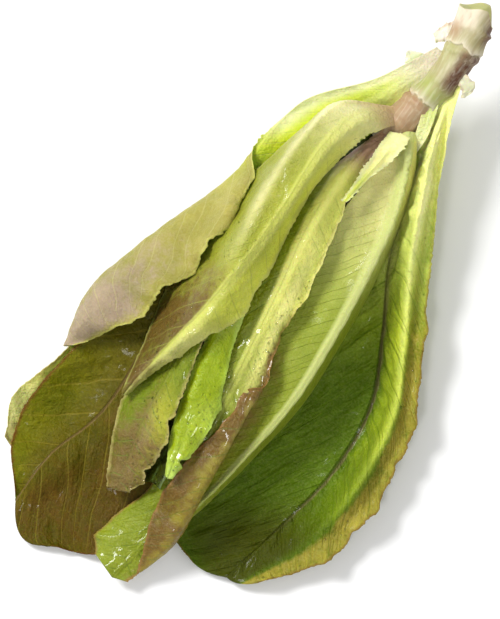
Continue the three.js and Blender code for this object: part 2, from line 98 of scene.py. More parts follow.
# What a leaf has unless its own table says otherwise. outerUp says which face is seen from above.
# ridgesAndHighlight: how far the fine folds stand up, and how much lighter their tops are painted, a painted
# highlight
usual = {
    "outerUp": False, "roll": None, "ridge": None, "folds": [], "bites": [], "bulge": (0, 0),
    "ribScale": 1, "swell": (1, 1), "wrinkles": (0, 1, 1, 1), "evenTo": (0.04, 0.16),
    "rough": 1.0, "gloss": 0.24, "mottle": 0.7, "ridgesAndHighlight": 0.25, "ribStart": (-2, -1), "ribFade": (2, 3),
}

underLeaf = {
    **usual,
    "mid": [(17, 139, 33), (13, 113, 19), (7, 80, 7.5), (3, 40, 2), (0, -5, 1.2), (-2, -48, 1.4),
            (-2, -84, 3), (-2, -101, 5)],
    "left": [(12, 138, 33), (2, 112, 20), (-14, 80, 12), (-26, 40, 7), (-32, -5, 5), (-28, -52, 5),
             (-18, -88, 6), (-6, -101, 6)],
    "right": [(22, 137, 34), (22, 110, 21), (26, 76, 10), (29, 36, 3.5), (28, -10, 2.2), (23, -54, 2.2),
              (12, -88, 4), (3, -101, 6)],
    "sag": (-1, -1), "waves": (1.2, 6, 0.3), "detail": (130, 26), "teeth": (1.0, 7),
    "veins": (11, 0.8, 0.2), "band": (5, 1.2, 0.3), "wet": 0.1, "net": 0.25, "inner": (158, 180, 62),
    "outer": (160, 176, 84), "lime": (190, 208, 80), "pale": (225, 228, 190), "blush": (140, 118, 62),
    "rib": (218, 220, 150), "vein": (198, 206, 120), "edge": (150, 135, 60),
    "paint": {"lime": lambda s, t: 0.3 * smooth(0.5, 0.1, s),
              "blush": lambda s, t: 0.35 * smooth(0.6, 1, s)},
}
leftTipLeaf = {
    **usual,
    "mid": [(13, 127, 34), (2, 98, 20), (-12, 58, 9), (-28, 12, 2.4), (-42, -35, 0.4), (-50, -76, 0.6),
            (-55, -103, 3.5), (-55, -118, 7)],
    "left": [(7, 128, 35), (-8, 101, 23), (-30, 64, 14), (-48, 20, 10), (-58, -26, 8), (-62, -68, 8),
             (-69.5, -95, 10), (-63, -114.5, 9)],
    "right": [(18, 124, 34), (9, 92, 19), (3, 50, 9), (-5, 2, 5), (-15, -45, 4), (-28, -85, 3),
              (-36, -110, 4), (-46, -121, 7)],
    "sag": (-1, -0.5), "waves": (1.4, 7, 1.2), "detail": (200, 34), "teeth": (0.8, 6),
    "veins": (9, 0.8, 0.3), "band": (4, 1.0, 0.3), "wet": 0.2, "net": 0.3, "mottle": 0.5,
    "inner": (204, 194, 96), "outer": (158, 162, 90), "lime": (208, 202, 88), "pale": (216, 212, 158),
    "blush": (134, 112, 62), "rib": (196, 200, 130), "vein": (184, 190, 120), "edge": (140, 112, 58),
    "paint": {"lime": lambda s, t: 0.5 * smooth(-0.5, -1, t) * smooth(0.5, 0.8, s),
              "pale": lambda s, t: 0.6 * smooth(0.7, 0.85, s) * smooth(-0.2, -0.8, t),
              "blush": lambda s, t: 0.5 * smooth(0.82, 1, s)},
}
wrapLeaf = {
    **usual,
    "mid": [(13, 147, 42), (3, 123, 32), (-12, 98, 21), (-22, 72, 12), (-30, 46, 7), (-38, 20, 4),
            (-46, -6, 3), (-52, -34, 3.5), (-57, -60, 6)],
    "left": [(7, 148, 45), (-8, 122, 37), (-31, 97, 27), (-38, 72, 18), (-41, 46, 12), (-50.5, 20, 9),
             (-60, -6, 8), (-67.5, -36, 8), (-63, -64, 9)],
    "right": [(17, 143, 39), (10, 118, 28), (3, 92, 17), (-4, 66, 10), (-10, 40, 7), (-17, 14, 5),
              (-25, -14, 4), (-36, -42, 5), (-51, -62, 7)],
    "sag": (-2, -1), "waves": (1.6, 9, 0), "detail": (240, 50), "teeth": (1.6, 5),
    "roll": {"side": -1, "from": 0.28, "full": 0.79, "release": 0.87, "to": 1.07, "radius": 9.5,
             "turn": 180, "flap": 18, "ease": 0.4},
    "bites": [(-1, 0.47, 0.025, 1.6), (-1, 0.6, 0.03, 2.5), (-1, 0.66, 0.02, -1.5),
              (-1, 0.73, 0.022, 2.2), (-1, 0.8, 0.02, -1.6), (-1, 0.87, 0.018, 1.8),
              (-1, 0.93, 0.016, -1.6)],
    "stain": (220, 204, 194),
    "folds": [(-1, -1, 0.4, -4, 0.05, 0.4)],
    "veins": (12, 0.9, 0.12), "band": (5, 1.2, 0.2), "wet": 0.0, "net": 0.1, "mottle": 0.6, "rough": 0.8,
    "gloss": 0.12, "evenTo": (0.3, 0.42), "inner": (192, 200, 84), "outer": (158, 150, 76),
    "lime": (206, 218, 40), "pale": (222, 222, 172), "blush": (158, 140, 122), "rib": (214, 220, 150),
    "vein": (186, 180, 118), "edge": (196, 196, 104),
    "paint": {"lime": lambda s, t: bump(0.33, 0.13, s) * smooth(-0.95, -0.6, t) * smooth(0.5, -0.1, t),
              "pale": lambda s, t: smooth(0.42, 0.3, s) * smooth(-0.45, -0.9, t) + 0.9 * smooth(0.2, 0.03, s),
              "blush": lambda s, t: smooth(0.6, 0.95, s) * smooth(-0.3, -0.6, t) * smooth(-1.02, -0.8, t),
              "stain": lambda s, t: 0.7 * smooth(0.14, 0.02, s)},
}
rightLeaf = {
    **usual,
    "mid": [(21, 139, 40), (28, 112, 30), (35, 84, 20), (44, 54, 10), (60, 24, 2.4), (73.5, -6, 0.3),
            (76, -40, 0), (71, -70, 1), (61, -112, 5)],
    "left": [(17, 134, 37), (18, 108, 24), (19, 78, 12), (18, 42, 8), (12, 0, 6), (8, -40, 6),
             (8, -76, 6), (18, -104, 6), (44, -115, 6)],
    "right": [(26, 141, 43), (34, 116, 38), (47, 88, 32), (63, 58, 26), (82, 22, 21), (97, -10, 18),
              (101, -50, 16), (96, -80, 13), (74, -107, 8)],
    "sag": (-1.5, -1), "waves": (1.3, 10, 2), "detail": (270, 50), "teeth": (1.3, 7),
    "ridge": {"side": 1, "at": 0.5, "width": 0.22, "height": 13},
    "bites": [(1, 0.45, 0.012, 1.6), (1, 0.52, 0.012, 1.8), (1, 0.6, 0.014, 2.2), (1, 0.67, 0.012, -1.5),
              (1, 0.74, 0.016, 2.4), (1, 0.8, 0.012, -2.0), (1, 0.88, 0.014, 1.5)],
    "folds": [(0.26, 0.24, 0.26, 13, 0.04, 0.46)],
    "bulge": (1.6, 2.2), "wrinkles": (3.0, 2.4, 9, 0.2), "veins": (15, 0.75, 0.2),
    "band": (2.2, 0.8, 0.6), "wet": 0.08, "net": 0.08, "mottle": 0.8, "ridgesAndHighlight": 1.1, "gloss": 0.1,
    "inner": (86, 112, 0), "outer": (120, 140, 60), "lime": (184, 198, 52), "pale": (244, 246, 166),
    "blush": (150, 138, 54), "rib": (124, 108, 76), "ribStart": (0.32, 0.46), "vein": (84, 112, 10),
    "stain": (64, 70, 0), "edge": (124, 92, 44),
    "paint": {
        # lime: the foot is pale lime, also painted light where the folded leaf shades it; the strip beside
        # the folded leaf is painted lighter against its shadow, a painted light; the bump at t 0.5 is a
        # painted highlight on the crest
        "lime": lambda s, t: np.clip(smooth(0.62, 0.2, s) * smooth(-1.3, -0.1, t)
                                     + 0.6 * smooth(0.03, 0.2, t) * smooth(0.62, 0.5, t) * smooth(0.9, 0.4, s)
                                     + 0.8 * bump(0.5, 0.11, t) * smooth(0.95, 0.4, s), 0, 1),
        # pale: the pale foot, and a painted highlight along the crest at t 0.5
        "pale": lambda s, t: (smooth(0.5, 0.12, s) * smooth(-0.8, 0, t)
                              + 0.5 * bump(0.5, 0.08, t) * smooth(0.8, 0.3, s)),
        "blush": lambda s, t: np.clip(smooth(0.3, 0.6, s) * smooth(0.56, 0.7, t), 0, 1),
        "stain": lambda s, t: smooth(0.79, 0.93, s) * smooth(0.75, 0.4, t) * smooth(-1.4, -0.3, t)},
}
darkLeaf = {
    **usual,
    "mid": [(12, 113, 30), (2, 88, 21), (-14, 52, 13), (-28, 18, 9), (-35, -14, 8), (-31, -48, 7),
            (-31, -80, 6), (-40, -109, 4), (-42, -137, 5)],
    "left": [(7, 113, 31), (-9, 88, 25), (-28, 54, 20), (-42, 20, 15), (-50, -12, 13), (-55, -46, 12),
             (-61.5, -80, 11), (-60, -110, 8), (-44, -134, 7)],
    "right": [(16, 110, 30), (14, 84, 22), (12, 48, 15), (10, 10, 13), (10, -30, 12), (11, -66, 11),
              (12, -100, 9), (7, -134, 6), (-18, -146, 5)],
    "sag": (-1.5, -1), "waves": (1.5, 8, 0.8), "detail": (250, 46), "teeth": (0.5, 5),
    "wrinkles": (1.2, 2.4, 12, 2), "veins": (18, 0.7, 0.12), "gloss": 0.1, "ridgesAndHighlight": 0.6,
    # stain here is the colour of a painted shade
    "stain": (50, 42, 0), "band": (1.7, 0.5, 0.6), "bulge": (0, 8), "wet": 0.12, "net": 0.2,
    "mottle": 1.0, "inner": (92, 84, 0), "outer": (110, 106, 50), "lime": (112, 112, 0),
    "pale": (150, 150, 60), "blush": (84, 62, 0), "rib": (128, 104, 62), "vein": (132, 118, 36),
    "edge": (104, 52, 22),
    "paint": {"lime": lambda s, t: 0.75 * smooth(0.55, 0.8, s) * smooth(-0.1, -0.7, t),
              # blush: browner to the lower right; the upper part is also painted darker, a painted shade
              "blush": lambda s, t: np.clip(0.75 * smooth(0.5, 0.7, s) * smooth(-0.1, 0.3, t)
                                            + 0.4 * smooth(0.55, 0.35, s), 0, 1),
              # the valley beside the leaves above, under the wrap leaf's flap, painted dark: a painted shadow
              "stain": lambda s, t: 0.8 * smooth(0.62, 0.4, s) * smooth(-0.35, 0.1, t)},
}
heartLeaf = {
    **usual,
    "mid": [(18, 128, 32), (22, 119, 30.5), (24, 110, 30), (24.5, 102, 29.5)],
    "left": [(15, 127, 32), (19, 118, 31.5), (21.5, 109, 31), (23.5, 102.5, 30)],
    "right": [(21, 129, 32), (25, 120, 31.5), (26.5, 111, 31), (25.8, 102.5, 30)],
    "sag": (0, 0), "waves": (0.2, 2, 0), "detail": (40, 12), "teeth": (0.2, 3), "ribScale": 0.35,
    "veins": (8, 0.8, 0.1), "band": (1.2, 0.4, 0.3), "wet": 0.1, "net": 0.2, "inner": (196, 206, 120),
    "outer": (190, 200, 120), "lime": (200, 212, 90), "pale": (230, 232, 190), "blush": (150, 120, 70),
    "rib": (226, 228, 180), "vein": (206, 212, 140), "edge": (220, 224, 160),
    "paint": {"pale": lambda s, t: smooth(0.2, 0.9, s)},
}
foldedLeaf = {
    **usual,
    "mid": [(18, 107, 35), (27.5, 91, 41), (35, 68, 42), (39.5, 38, 40), (42.3, 5, 37), (42.8, -28, 33),
            (37.8, -62, 27), (32.5, -88, 19), (28, -102, 14)],
    "left": [(15, 104, 36), (15, 88, 38), (12, 60, 38), (9, 28, 35), (8, -8, 32), (10, -42, 28),
             (14, -72, 23), (20, -92, 17), (25, -103, 14)],
    "right": [(21, 110, 32), (30.5, 94, 28), (38, 71, 22), (43, 41, 17), (45.5, 7, 14), (46, -25, 13),
              (40.5, -60, 12), (35, -86, 12), (31, -101, 13)],
    "outerUp": True, "sag": (-4, 2), "waves": (1, 8, 1), "detail": (240, 42), "teeth": (0.8, 6),
    "folds": [(0, 0, 0.45, -4, 0.05, 0.5)],
    "swell": (1.4, 0.5), "veins": (5.5, 0.55, 0.2), "band": (6.4, 2.2, 0.9), "ribFade": (0.5, 1.3),
    "wet": 0.1, "net": 0.06, "mottle": 0.45, "inner": (130, 148, 44), "outer": (136, 148, 34),
    "lime": (172, 186, 66), "pale": (220, 216, 146), "blush": (128, 108, 44), "rib": (198, 204, 128),
    "vein": (84, 98, 20), "edge": (160, 168, 70),
    "paint": {"lime": lambda s, t: 0.4 * bump(0.3, 0.2, s) * smooth(-0.1, -0.3, t),
              "pale": lambda s, t: smooth(0.48, 0.12, s),
              "blush": lambda s, t: 0.7 * bump(0.68, 0.12, s) * smooth(-0.1, -0.6, t)},
}
centerLeaf = {
    **usual,
    "mid": [(11, 104, 35), (5, 86, 42), (2.5, 66, 45), (4, 40, 45), (8.5, 12, 43), (12, -16, 40),
            (16, -48, 35), (20, -84, 26), (21, -113, 16), (16, -142, 10)],
    "left": [(7, 102, 36), (0, 84, 42), (-7, 62, 43), (-10, 32, 41), (-10, 2, 38), (-6, -30, 34),
             (-2, -62, 28), (8, -95, 18), (0, -121, 11), (3, -137, 9)],
    "right": [(14, 106, 37), (10, 88, 43), (11.5, 64, 46), (17, 40, 46), (20, 10, 44), (24, -18, 41),
              (28.5, -50, 36), (31, -84, 27), (32.5, -113, 16), (23, -140, 10)],
    "sag": (2, -0.5), "waves": (1.1, 9, 0), "detail": (260, 48), "teeth": (0.9, 4),
    "roll": {"side": 1, "from": 0.56, "full": 0.82, "release": 0.86, "to": 1.0, "radius": 4.2,
             "turn": 190, "flap": 12, "ease": 0.15},
    "bites": [(-1, 0.945, 0.03, 3.5), (1, 0.63, 0.03, 2.6), (1, 0.25, 0.02, 1.5), (1, 0.33, 0.016, -1.2),
              (1, 0.42, 0.018, 1.4), (1, 0.5, 0.015, -1.4), (1, 0.58, 0.02, 1.8), (1, 0.66, 0.015, -1.0)],
    "folds": [(0, 0, 0.3, 1.6, 0.03, 0.7), (0.15, 0.15, 0.4, 4.2, 0.04, 0.45),
              (0.9, 0.9, 0.2, 1.2, 0.05, 0.42), (1, 1, 0.35, -4.5, 0.08, 0.66)],
    "veins": (12, 0.7, 0.15), "band": (5.4, 1.4, 0.9), "ribFade": (0.45, 0.7), "wet": 0.5, "net": 0.1,
    "mottle": 0.75, "stain": rose, "inner": (130, 142, 16), "outer": (164, 150, 50),
    "lime": (208, 218, 66), "pale": (232, 230, 144), "blush": (104, 76, 14), "rib": (238, 238, 128),
    "vein": (84, 112, 22), "edge": (142, 104, 52),
    "paint": {"lime": lambda s, t: np.clip(smooth(0, 0.3, t) * smooth(0.62, 0.4, s), 0, 1),
              # the band at t 0.55 and s 0.5 is partly the leaf's pale tan and partly a painted highlight
              "pale": lambda s, t: np.clip(0.9 * smooth(0.32, 0.08, s) * bump(0.0, 0.5, t)
                                           + 0.8 * bump(0.55, 0.28, t) * bump(0.5, 0.16, s)
                                           + 0.4 * smooth(0.1, 0.3, t) * smooth(0.6, 0.45, s)
                                           + 0.6 * smooth(0.85, 1, t) * smooth(0.5, 0.38, s), 0, 1),
              "blush": lambda s, t: np.clip((0.9 * smooth(0.4, 0.56, s) * smooth(0.62, 0.95, t)
                                             + 0.55 * smooth(0.6, 0.7, s) * smooth(0.3, 0.5, t))
                                            * (1 - 0.5 * smooth(0.88, 0.96, s)), 0, 1),
              "stain": lambda s, t: smooth(0.2, 0.1, s)},
}
paleLobe = {
    **usual,
    "mid": [(15.5, 104.5, 39), (15, 96, 43), (14.2, 87, 45), (12.7, 77, 46), (11.2, 63, 46)],
    "left": [(10.4, 103, 38), (10.2, 95, 43), (10.8, 86, 45), (10.4, 76, 46), (9.8, 62.5, 46)],
    "right": [(20.4, 105.5, 38), (19.8, 97.5, 42.5), (17.6, 88, 44.5), (14.9, 78, 45.5),
              (12.4, 63.5, 46)],
    "outerUp": True, "sag": (-0.3, -0.3), "waves": (0.5, 3, 0), "detail": (70, 18), "teeth": (2.2, 2.6),
    "rough": 0.4, "ribScale": 0.1, "veins": (7, 0.6, 0), "band": (0.5, 0.3, 0), "wet": 0.2, "net": 0.1,
    "inner": (214, 220, 130), "outer": (238, 236, 162), "lime": (206, 216, 80), "pale": (232, 234, 190),
    "blush": (180, 160, 130), "rib": (220, 224, 150), "vein": (206, 212, 120), "edge": (228, 232, 170),
    "paint": {"lime": lambda s, t: smooth(0.45, 1, s), "pale": lambda s, t: 0.5 * smooth(0.5, 0, s)},
}
tornEar = {
    **usual,
    "mid": [(6, 135, 38.5), (3, 136.5, 39), (0, 138, 39.5), (-3.4, 139.6, 41)],
    "left": [(10, 142.5, 41), (6.5, 143.2, 41), (2, 142.2, 41), (-2.9, 140.2, 41.3)],
    "right": [(3, 128, 37), (0.5, 131.5, 38), (-1.6, 135.8, 39), (-3.6, 139.2, 41)],
    "outerUp": True, "sag": (0.3, 0.3), "waves": (0.4, 2, 0), "detail": (50, 16), "teeth": (0.9, 2.5),
    "ribScale": 0.1, "veins": (5, 0.4, 0.05), "band": (0.4, 0.3, 0.1), "wet": 0.1, "net": 0.0,
    "mottle": 0.2, "rough": 0.2, "inner": (206, 212, 160), "outer": (206, 212, 160),
    "lime": (200, 212, 110), "pale": (224, 226, 200), "blush": (180, 150, 130), "rib": (214, 218, 176),
    "vein": (200, 204, 150), "edge": (222, 224, 190),
    "paint": {"lime": lambda s, t: 0.2 * smooth(0.2, -0.8, t), "pale": lambda s, t: smooth(0.2, 0.9, s)},
}
deepLeaf = {
    **usual,
    "mid": [(3, 98, 33), (-9, 66, 46), (-12, 30, 46), (-7, -12, 43), (2, -60, 32), (8, -95, 22)],
    "left": [(0, 98, 33), (-15, 66, 45), (-19, 30, 44), (-14, -14, 41), (-6, -62, 30), (3.5, -97, 21)],
    "right": [(5, 97, 33), (-5, 64, 46), (-6, 28, 46), (0, -16, 43), (10, -64, 33), (13, -96, 23)],
    "sag": (0.5, 0.5), "waves": (0.6, 6, 0), "detail": (140, 20), "teeth": (0.8, 6), "ribScale": 0.5,
    "veins": (9, 0.7, 0.3), "band": (1.5, 0.6, 0.3), "wet": 0.5, "net": 0.3, "gloss": 0.06,
    "inner": (46, 50, 2), "outer": (46, 50, 2), "lime": (70, 100, 30), "pale": (90, 110, 60),
    "blush": (60, 60, 30), "rib": (80, 104, 44), "vein": (76, 92, 20), "edge": (110, 126, 80),
    "paint": {},
}
brightLeaf = {
    **usual,
    "mid": [(2, 100, 34), (-8, 74, 48), (-11, 44, 49), (-9, 14, 48), (-3, -14, 46), (1.5, -34, 43),
            (7, -60, 36), (11, -78, 30), (13.5, -90, 25)],
    "left": [(0, 100, 34), (-13, 74, 46), (-18, 44, 46), (-17, 14, 45), (-9, -14, 43), (-6, -34, 40),
             (0, -62, 33), (6.5, -79, 28), (11.5, -89.5, 24)],
    "right": [(4, 99, 34), (-4, 72, 47), (-5, 42, 47), (-3, 12, 46), (3, -14, 44), (9.5, -35, 41),
              (17, -58, 35), (16.5, -77, 29), (15.5, -89, 25)],
    "outerUp": True, "sag": (1.5, 1), "waves": (1, 8, 0.5), "detail": (220, 30), "teeth": (0.9, 4),
    "bites": [(1, 0.7, 0.015, 1.4), (1, 0.9, 0.012, -3.5), (1, 0.93, 0.01, 1)],
    "ribScale": 0.5, "swell": (1.4, 0.5), "veins": (8, 0.7, 0.06), "band": (1.8, 0.6, 0.05), "wet": 1.0,
    "net": 0.02, "mottle": 0.6, "inner": (112, 158, 26), "outer": (152, 170, 14), "lime": (172, 200, 58),
    "pale": (186, 208, 120), "blush": (120, 130, 40), "rib": (150, 190, 50), "vein": (128, 156, 16),
    "edge": (170, 196, 80),
    "paint": {"lime": lambda s, t: 0.7 * smooth(0.86, 0.98, s) + 0.4 * smooth(0.4, 1, t),
              "pale": lambda s, t: 0.4 * smooth(0.88, 1, s)},
}
bronzeLeaf = {
    **usual,
    "mid": [(3, 103, 35), (-11, 78, 46), (-16, 46, 47), (-17, 14, 46), (-16, -18, 44), (-13, -46, 40),
            (-11, -74, 32), (-6, -98, 23), (-4, -107, 20)],
    "left": [(0, 104, 35), (-16, 80, 42), (-22, 48, 38), (-23, 14, 35), (-23, -16, 34), (-23, -46, 31),
             (-25, -72, 25), (-15.5, -96, 19), (-9.5, -108, 18)],
    "right": [(6, 101, 35), (-7, 76, 46), (-11, 44, 48), (-11, 12, 47), (-8, -20, 45), (-3.5, -48, 40),
              (2.5, -74, 33), (4, -94, 24), (2, -104.5, 20)],
    "outerUp": True, "sag": (2, 0.5), "waves": (1.3, 9, 1), "detail": (240, 36), "teeth": (1.2, 5),
    "bites": [(1, 0.72, 0.012, -2.2), (1, 0.76, 0.012, 1.6), (1, 0.86, 0.012, -2), (1, 0.92, 0.016, 2.2),
              (-1, 0.95, 0.015, 1.5)],
    "ribScale": 0.5, "swell": (1.5, 0.4), "veins": (9, 0.7, 0.15), "band": (1.8, 0.6, 0.05), "wet": 0.4,
    "gloss": 0.14, "rough": 1.3, "net": 0.12, "mottle": 0.8, "inner": (112, 146, 54),
    "outer": (118, 132, 22), "lime": (170, 168, 58), "pale": (196, 192, 130), "blush": (114, 94, 50),
    "rib": (160, 176, 84), "vein": (104, 130, 40), "edge": (176, 164, 100),
    "paint": {"lime": lambda s, t: 0.9 * smooth(0.62, 0.72, s) * smooth(-0.3, 0.4, t),
              "blush": lambda s, t: np.clip(0.9 * smooth(0.66, 0.88, s)
                                            + 0.3 * bump(-0.1, 0.3, t) * smooth(0.55, 0.7, s), 0, 1)},
}
topLeaf = {
    **usual,
    "mid": [(10, 112, 36), (-5, 99, 49), (-10, 78, 55), (-10, 48, 57), (-11, 18, 56), (-14, -12, 52),
            (-18.5, -36, 45), (-23.5, -55, 37), (-26, -69, 31)],
    "left": [(7, 115, 36), (-17, 101, 40), (-25, 80, 32), (-33, 50, 23), (-38, 20, 20), (-37.5, -12, 21),
             (-33, -36, 24), (-29.5, -54, 28), (-27.5, -67, 29)],
    "right": [(12, 108, 37), (3, 97, 46), (-2, 78, 51), (-4, 48, 53), (0, 16, 52), (-1, -12, 48),
              (-12, -37, 41), (-20.3, -54, 35), (-24.5, -68, 30)],
    "outerUp": True, "sag": (3.5, 1.5), "waves": (1.2, 10, 0), "detail": (240, 42), "teeth": (1.6, 4),
    "bites": [(1, 0.1, 0.04, 1.8), (1, 0.2, 0.05, 1.6), (1, 0.6, 0.02, 1.5), (1, 0.68, 0.016, -1.5),
              (1, 0.76, 0.02, 1.5)],
    "swell": (2.0, 0.42),
    "folds": [(-1.2, 0.65, 0.2, 4.6, 0, 0.62), (0.42, 0.42, 0.32, 2.4, 0.05, 0.8),
              (1, 1, 0.4, -6.2, 0.08, 0.58), (1, 1, 0.35, -3.2, 0.2, 0.42),
              (-0.3, -0.3, 0.22, 1.4, 0.3, 0.9)],
    "veins": (13, 0.8, 0.12), "band": (5.5, 2.2, 0.4), "ribFade": (0.72, 0.9), "wet": 0.25, "net": 0.07,
    "mottle": 0.6, "stain": rose, "inner": (150, 172, 60), "outer": (144, 148, 40),
    "lime": (206, 212, 74), "pale": (226, 220, 162), "blush": (98, 76, 22), "rib": (206, 208, 112),
    "vein": (150, 156, 66), "edge": (184, 186, 100),
    # lime: the yellowish right half, also painted lighter where it faces away from the lamp, a painted light.
    # pale: the pale foot, a painted highlight along the ridge line that runs from t -1.2 at the base, and the
    # paler lower right
    "paint": {"lime": lambda s, t: smooth(0.1, 0.75, t) * smooth(0.8, 0.5, s) + 0.35 * bump(0.02, 0.2, t),
              "pale": lambda s, t: (0.9 * smooth(0.34, 0.08, s)
                                    + 0.55 * bump(1.85 * s - 1.2, 0.1, t) * smooth(0.6, 0.4, s)
                                    + 0.35 * smooth(0.6, 0.75, s) * smooth(-0.1, 0.3, t)),
              "blush": lambda s, t: np.clip(smooth(0.5, 0.72, s) * smooth(0.05, -0.15, t)
                                            + 0.6 * smooth(0.72, 0.95, s), 0, 1),
              "stain": lambda s, t: 0.8 * smooth(0.13, 0.02, s)},
}

# Bottom to top, as the leaves lie on each other; the stem comes among them
pile = [("under_leaf", underLeaf), ("left_tip_leaf", leftTipLeaf), ("wrap_leaf", wrapLeaf),
        ("right_leaf", rightLeaf), ("dark_leaf", darkLeaf), ("heart_leaf", heartLeaf), ("stem", None),
        ("folded_leaf", foldedLeaf), ("center_leaf", centerLeaf), ("deep_leaf", deepLeaf),
        ("bright_leaf", brightLeaf), ("bronze_leaf", bronzeLeaf), ("top_leaf", topLeaf)]

# The shape of one leaf across its midrib, on one side

def rollAt(leaf, s, side):
    roll = leaf["roll"]
    if not roll or roll["side"] != side:
        return [np.zeros_like(s)] * 4
    fold = smooth(roll["from"], roll["full"], s) * (1 - smooth(roll["release"], roll["to"], s))
    turn = math.radians(roll["turn"]) * smooth(0, roll["ease"], fold)
    return roll["radius"] * fold, turn, roll["flap"] * fold, fold


def ribAt(leaf, s):
    scale = leaf["ribScale"]
    root = np.sqrt(s)
    return [(a + (b - a) * root) * scale for a, b in (ribSpread, ribHeight)]


def crossSection(leaf, s, side, q):
    # q is the share of the way from the midrib to the margin; all results are rows by columns
    mid = along(leaf["mid"], s)
    edge = along(leaf["left" if side < 0 else "right"], s)
    out = edge[:, :2] - mid[:, :2]
    width = np.hypot(out[:, 0], out[:, 1])
    radius, turn, flap, fold = rollAt(leaf, s, side)
    drop = (edge[:, 2] - mid[:, 2])[:, None]
    flat = np.maximum(width - radius, 0.5)[:, None]
    slant = np.hypot(flat, drop)
    radius, turn, flap, fold = radius[:, None], turn[:, None], flap[:, None], fold[:, None]
    length = slant + radius * turn + flap
    distance = q[None, :] * length
    share = np.clip(distance / slant, 0, 1)
    reach = flat * share
    z = mid[:, 2:3] + drop * share
    z = z + leaf["sag"][0 if side < 0 else 1] * 4 * share * (1 - share) * smooth(0, 0.15, s)[:, None]
    ridge = leaf["ridge"]
    if ridge and ridge["side"] == side:
        rise = ridge["height"] * smooth(0.1, 0.3, s) * (1 - smooth(0.75, 0.95, s))
        z = z + rise[:, None] * bump(ridge["at"], ridge["width"], share)
    safe = np.maximum(radius, 1e-6)
    angle = np.where(radius > 0, np.clip((distance - slant) / safe, 0, turn), 0)
    reach = reach + radius * np.sin(angle)
    z = z + radius * (1 - np.cos(angle))
    beyond = np.maximum(distance - slant - radius * turn, 0)
    reach = reach + beyond * np.cos(angle)
    z = z + beyond * np.sin(angle)
    x = mid[:, 0:1] + out[:, 0:1] / width[:, None] * reach
    y = mid[:, 1:2] + out[:, 1:2] / width[:, None] * reach
    return {"x": x, "y": y, "z": z, "angle": angle, "fold": fold + 0 * x, "share": q[None, :] + 0 * x,
            "distance": distance, "length": length + 0 * x}


def wave(leaf, s, share, side):
    height, count, start = leaf["waves"]
    swing = np.sin(2 * math.pi * count * s + start + side) + 0.5 * np.sin(11.3 * count * s + 2 * start)
    return height * (swing * smooth(0.15, 0.4, s))[:, None] * share ** 2


# How the pile lies: a grid holds the height reached, and each leaf is lifted clear of it

def spot(x, y):
    i = np.clip(np.round((x - pileGrid["x"]) / pileGrid["cell"]), 0, pileGrid["columns"] - 1).astype(int)
    j = np.clip(np.round((y - pileGrid["y"]) / pileGrid["cell"]), 0, pileGrid["rows"] - 1).astype(int)
    return j, i


def sweep(grid, radius, combine):
    for axis in (0, 1):
        pad = [(radius, radius) if axis == k else (0, 0) for k in (0, 1)]
        padded = np.pad(grid, pad, mode="edge")
        windows = np.lib.stride_tricks.sliding_window_view(padded, 2 * radius + 1, axis=axis)
        grid = combine(windows, axis=-1)
    return grid


def readGrid(grid, x, y):
    gx = np.clip((x - pileGrid["x"]) / pileGrid["cell"], 0, pileGrid["columns"] - 1.001)
    gy = np.clip((y - pileGrid["y"]) / pileGrid["cell"], 0, pileGrid["rows"] - 1.001)
    i, j = gx.astype(int), gy.astype(int)
    fx, fy = gx - i, gy - j
    low = grid[j, i] * (1 - fx) + grid[j, i + 1] * fx
    high = grid[j + 1, i] * (1 - fx) + grid[j + 1, i + 1] * fx
    return low * (1 - fy) + high * fy


def leafLift(leaf, p):
    folded = smooth(math.radians(45), math.radians(130), p["angle"]) * smooth(0.1, 0.6, p["fold"])
    low = readGrid(leaf["lift"], p["x"], p["y"]) if "lift" in leaf else 0
    high = readGrid(leaf["flapLift"], p["x"], p["y"]) if "flapLift" in leaf else 0
    return low + high * folded


def samplesOf(leaf):
    s = np.linspace(0, 1, leafSamples[0])
    halfRib, swell = ribAt(leaf, s)
    for side in (-1, 1):
        p = crossSection(leaf, s, side, np.linspace(0, 1, leafSamples[1]))
        p["z"] = p["z"] + wave(leaf, s, p["share"], side)
        p["swell"] = swell[:, None] * np.maximum(1 - p["distance"] / halfRib[:, None], 0)
        p["s"] = s[:, None] + 0 * p["x"]
        yield p


def liftOver(leaf, heights, counts, spread=4):
    need = np.zeros_like(heights)
    for p in samplesOf(leaf):
        below = bladeThickness / 2 + (0 if leaf["outerUp"] else p["swell"])
        here = spot(p["x"], p["y"])
        lack = (heights[here] + leafGap + below - p["z"] - leafLift(leaf, p)) * smooth(0, 0.08, p["s"])
        np.maximum.at(need, here, np.where(counts(p), lack, 0))
    wide = sweep(need, spread, np.max)
    return sweep(sweep(wide, spread // 2, np.mean), spread // 2, np.mean)


def raiseHeights(leaf, heights, counts):
    reached = np.full_like(heights, -leafGap - flatDepth)
    for p in samplesOf(leaf):
        above = bladeThickness / 2 + (p["swell"] if leaf["outerUp"] else 0)
        top = p["z"] + leafLift(leaf, p) + above
        np.maximum.at(reached, spot(p["x"], p["y"]), np.where(counts(p), top, -leafGap - flatDepth))
    return np.maximum(heights, sweep(reached, 1, np.max))


def everywhere(p):
    return p["angle"] > -1


def beforeRoll(p):
    return p["angle"] < math.radians(50)


def onFlap(p):
    return p["angle"] > math.radians(100)


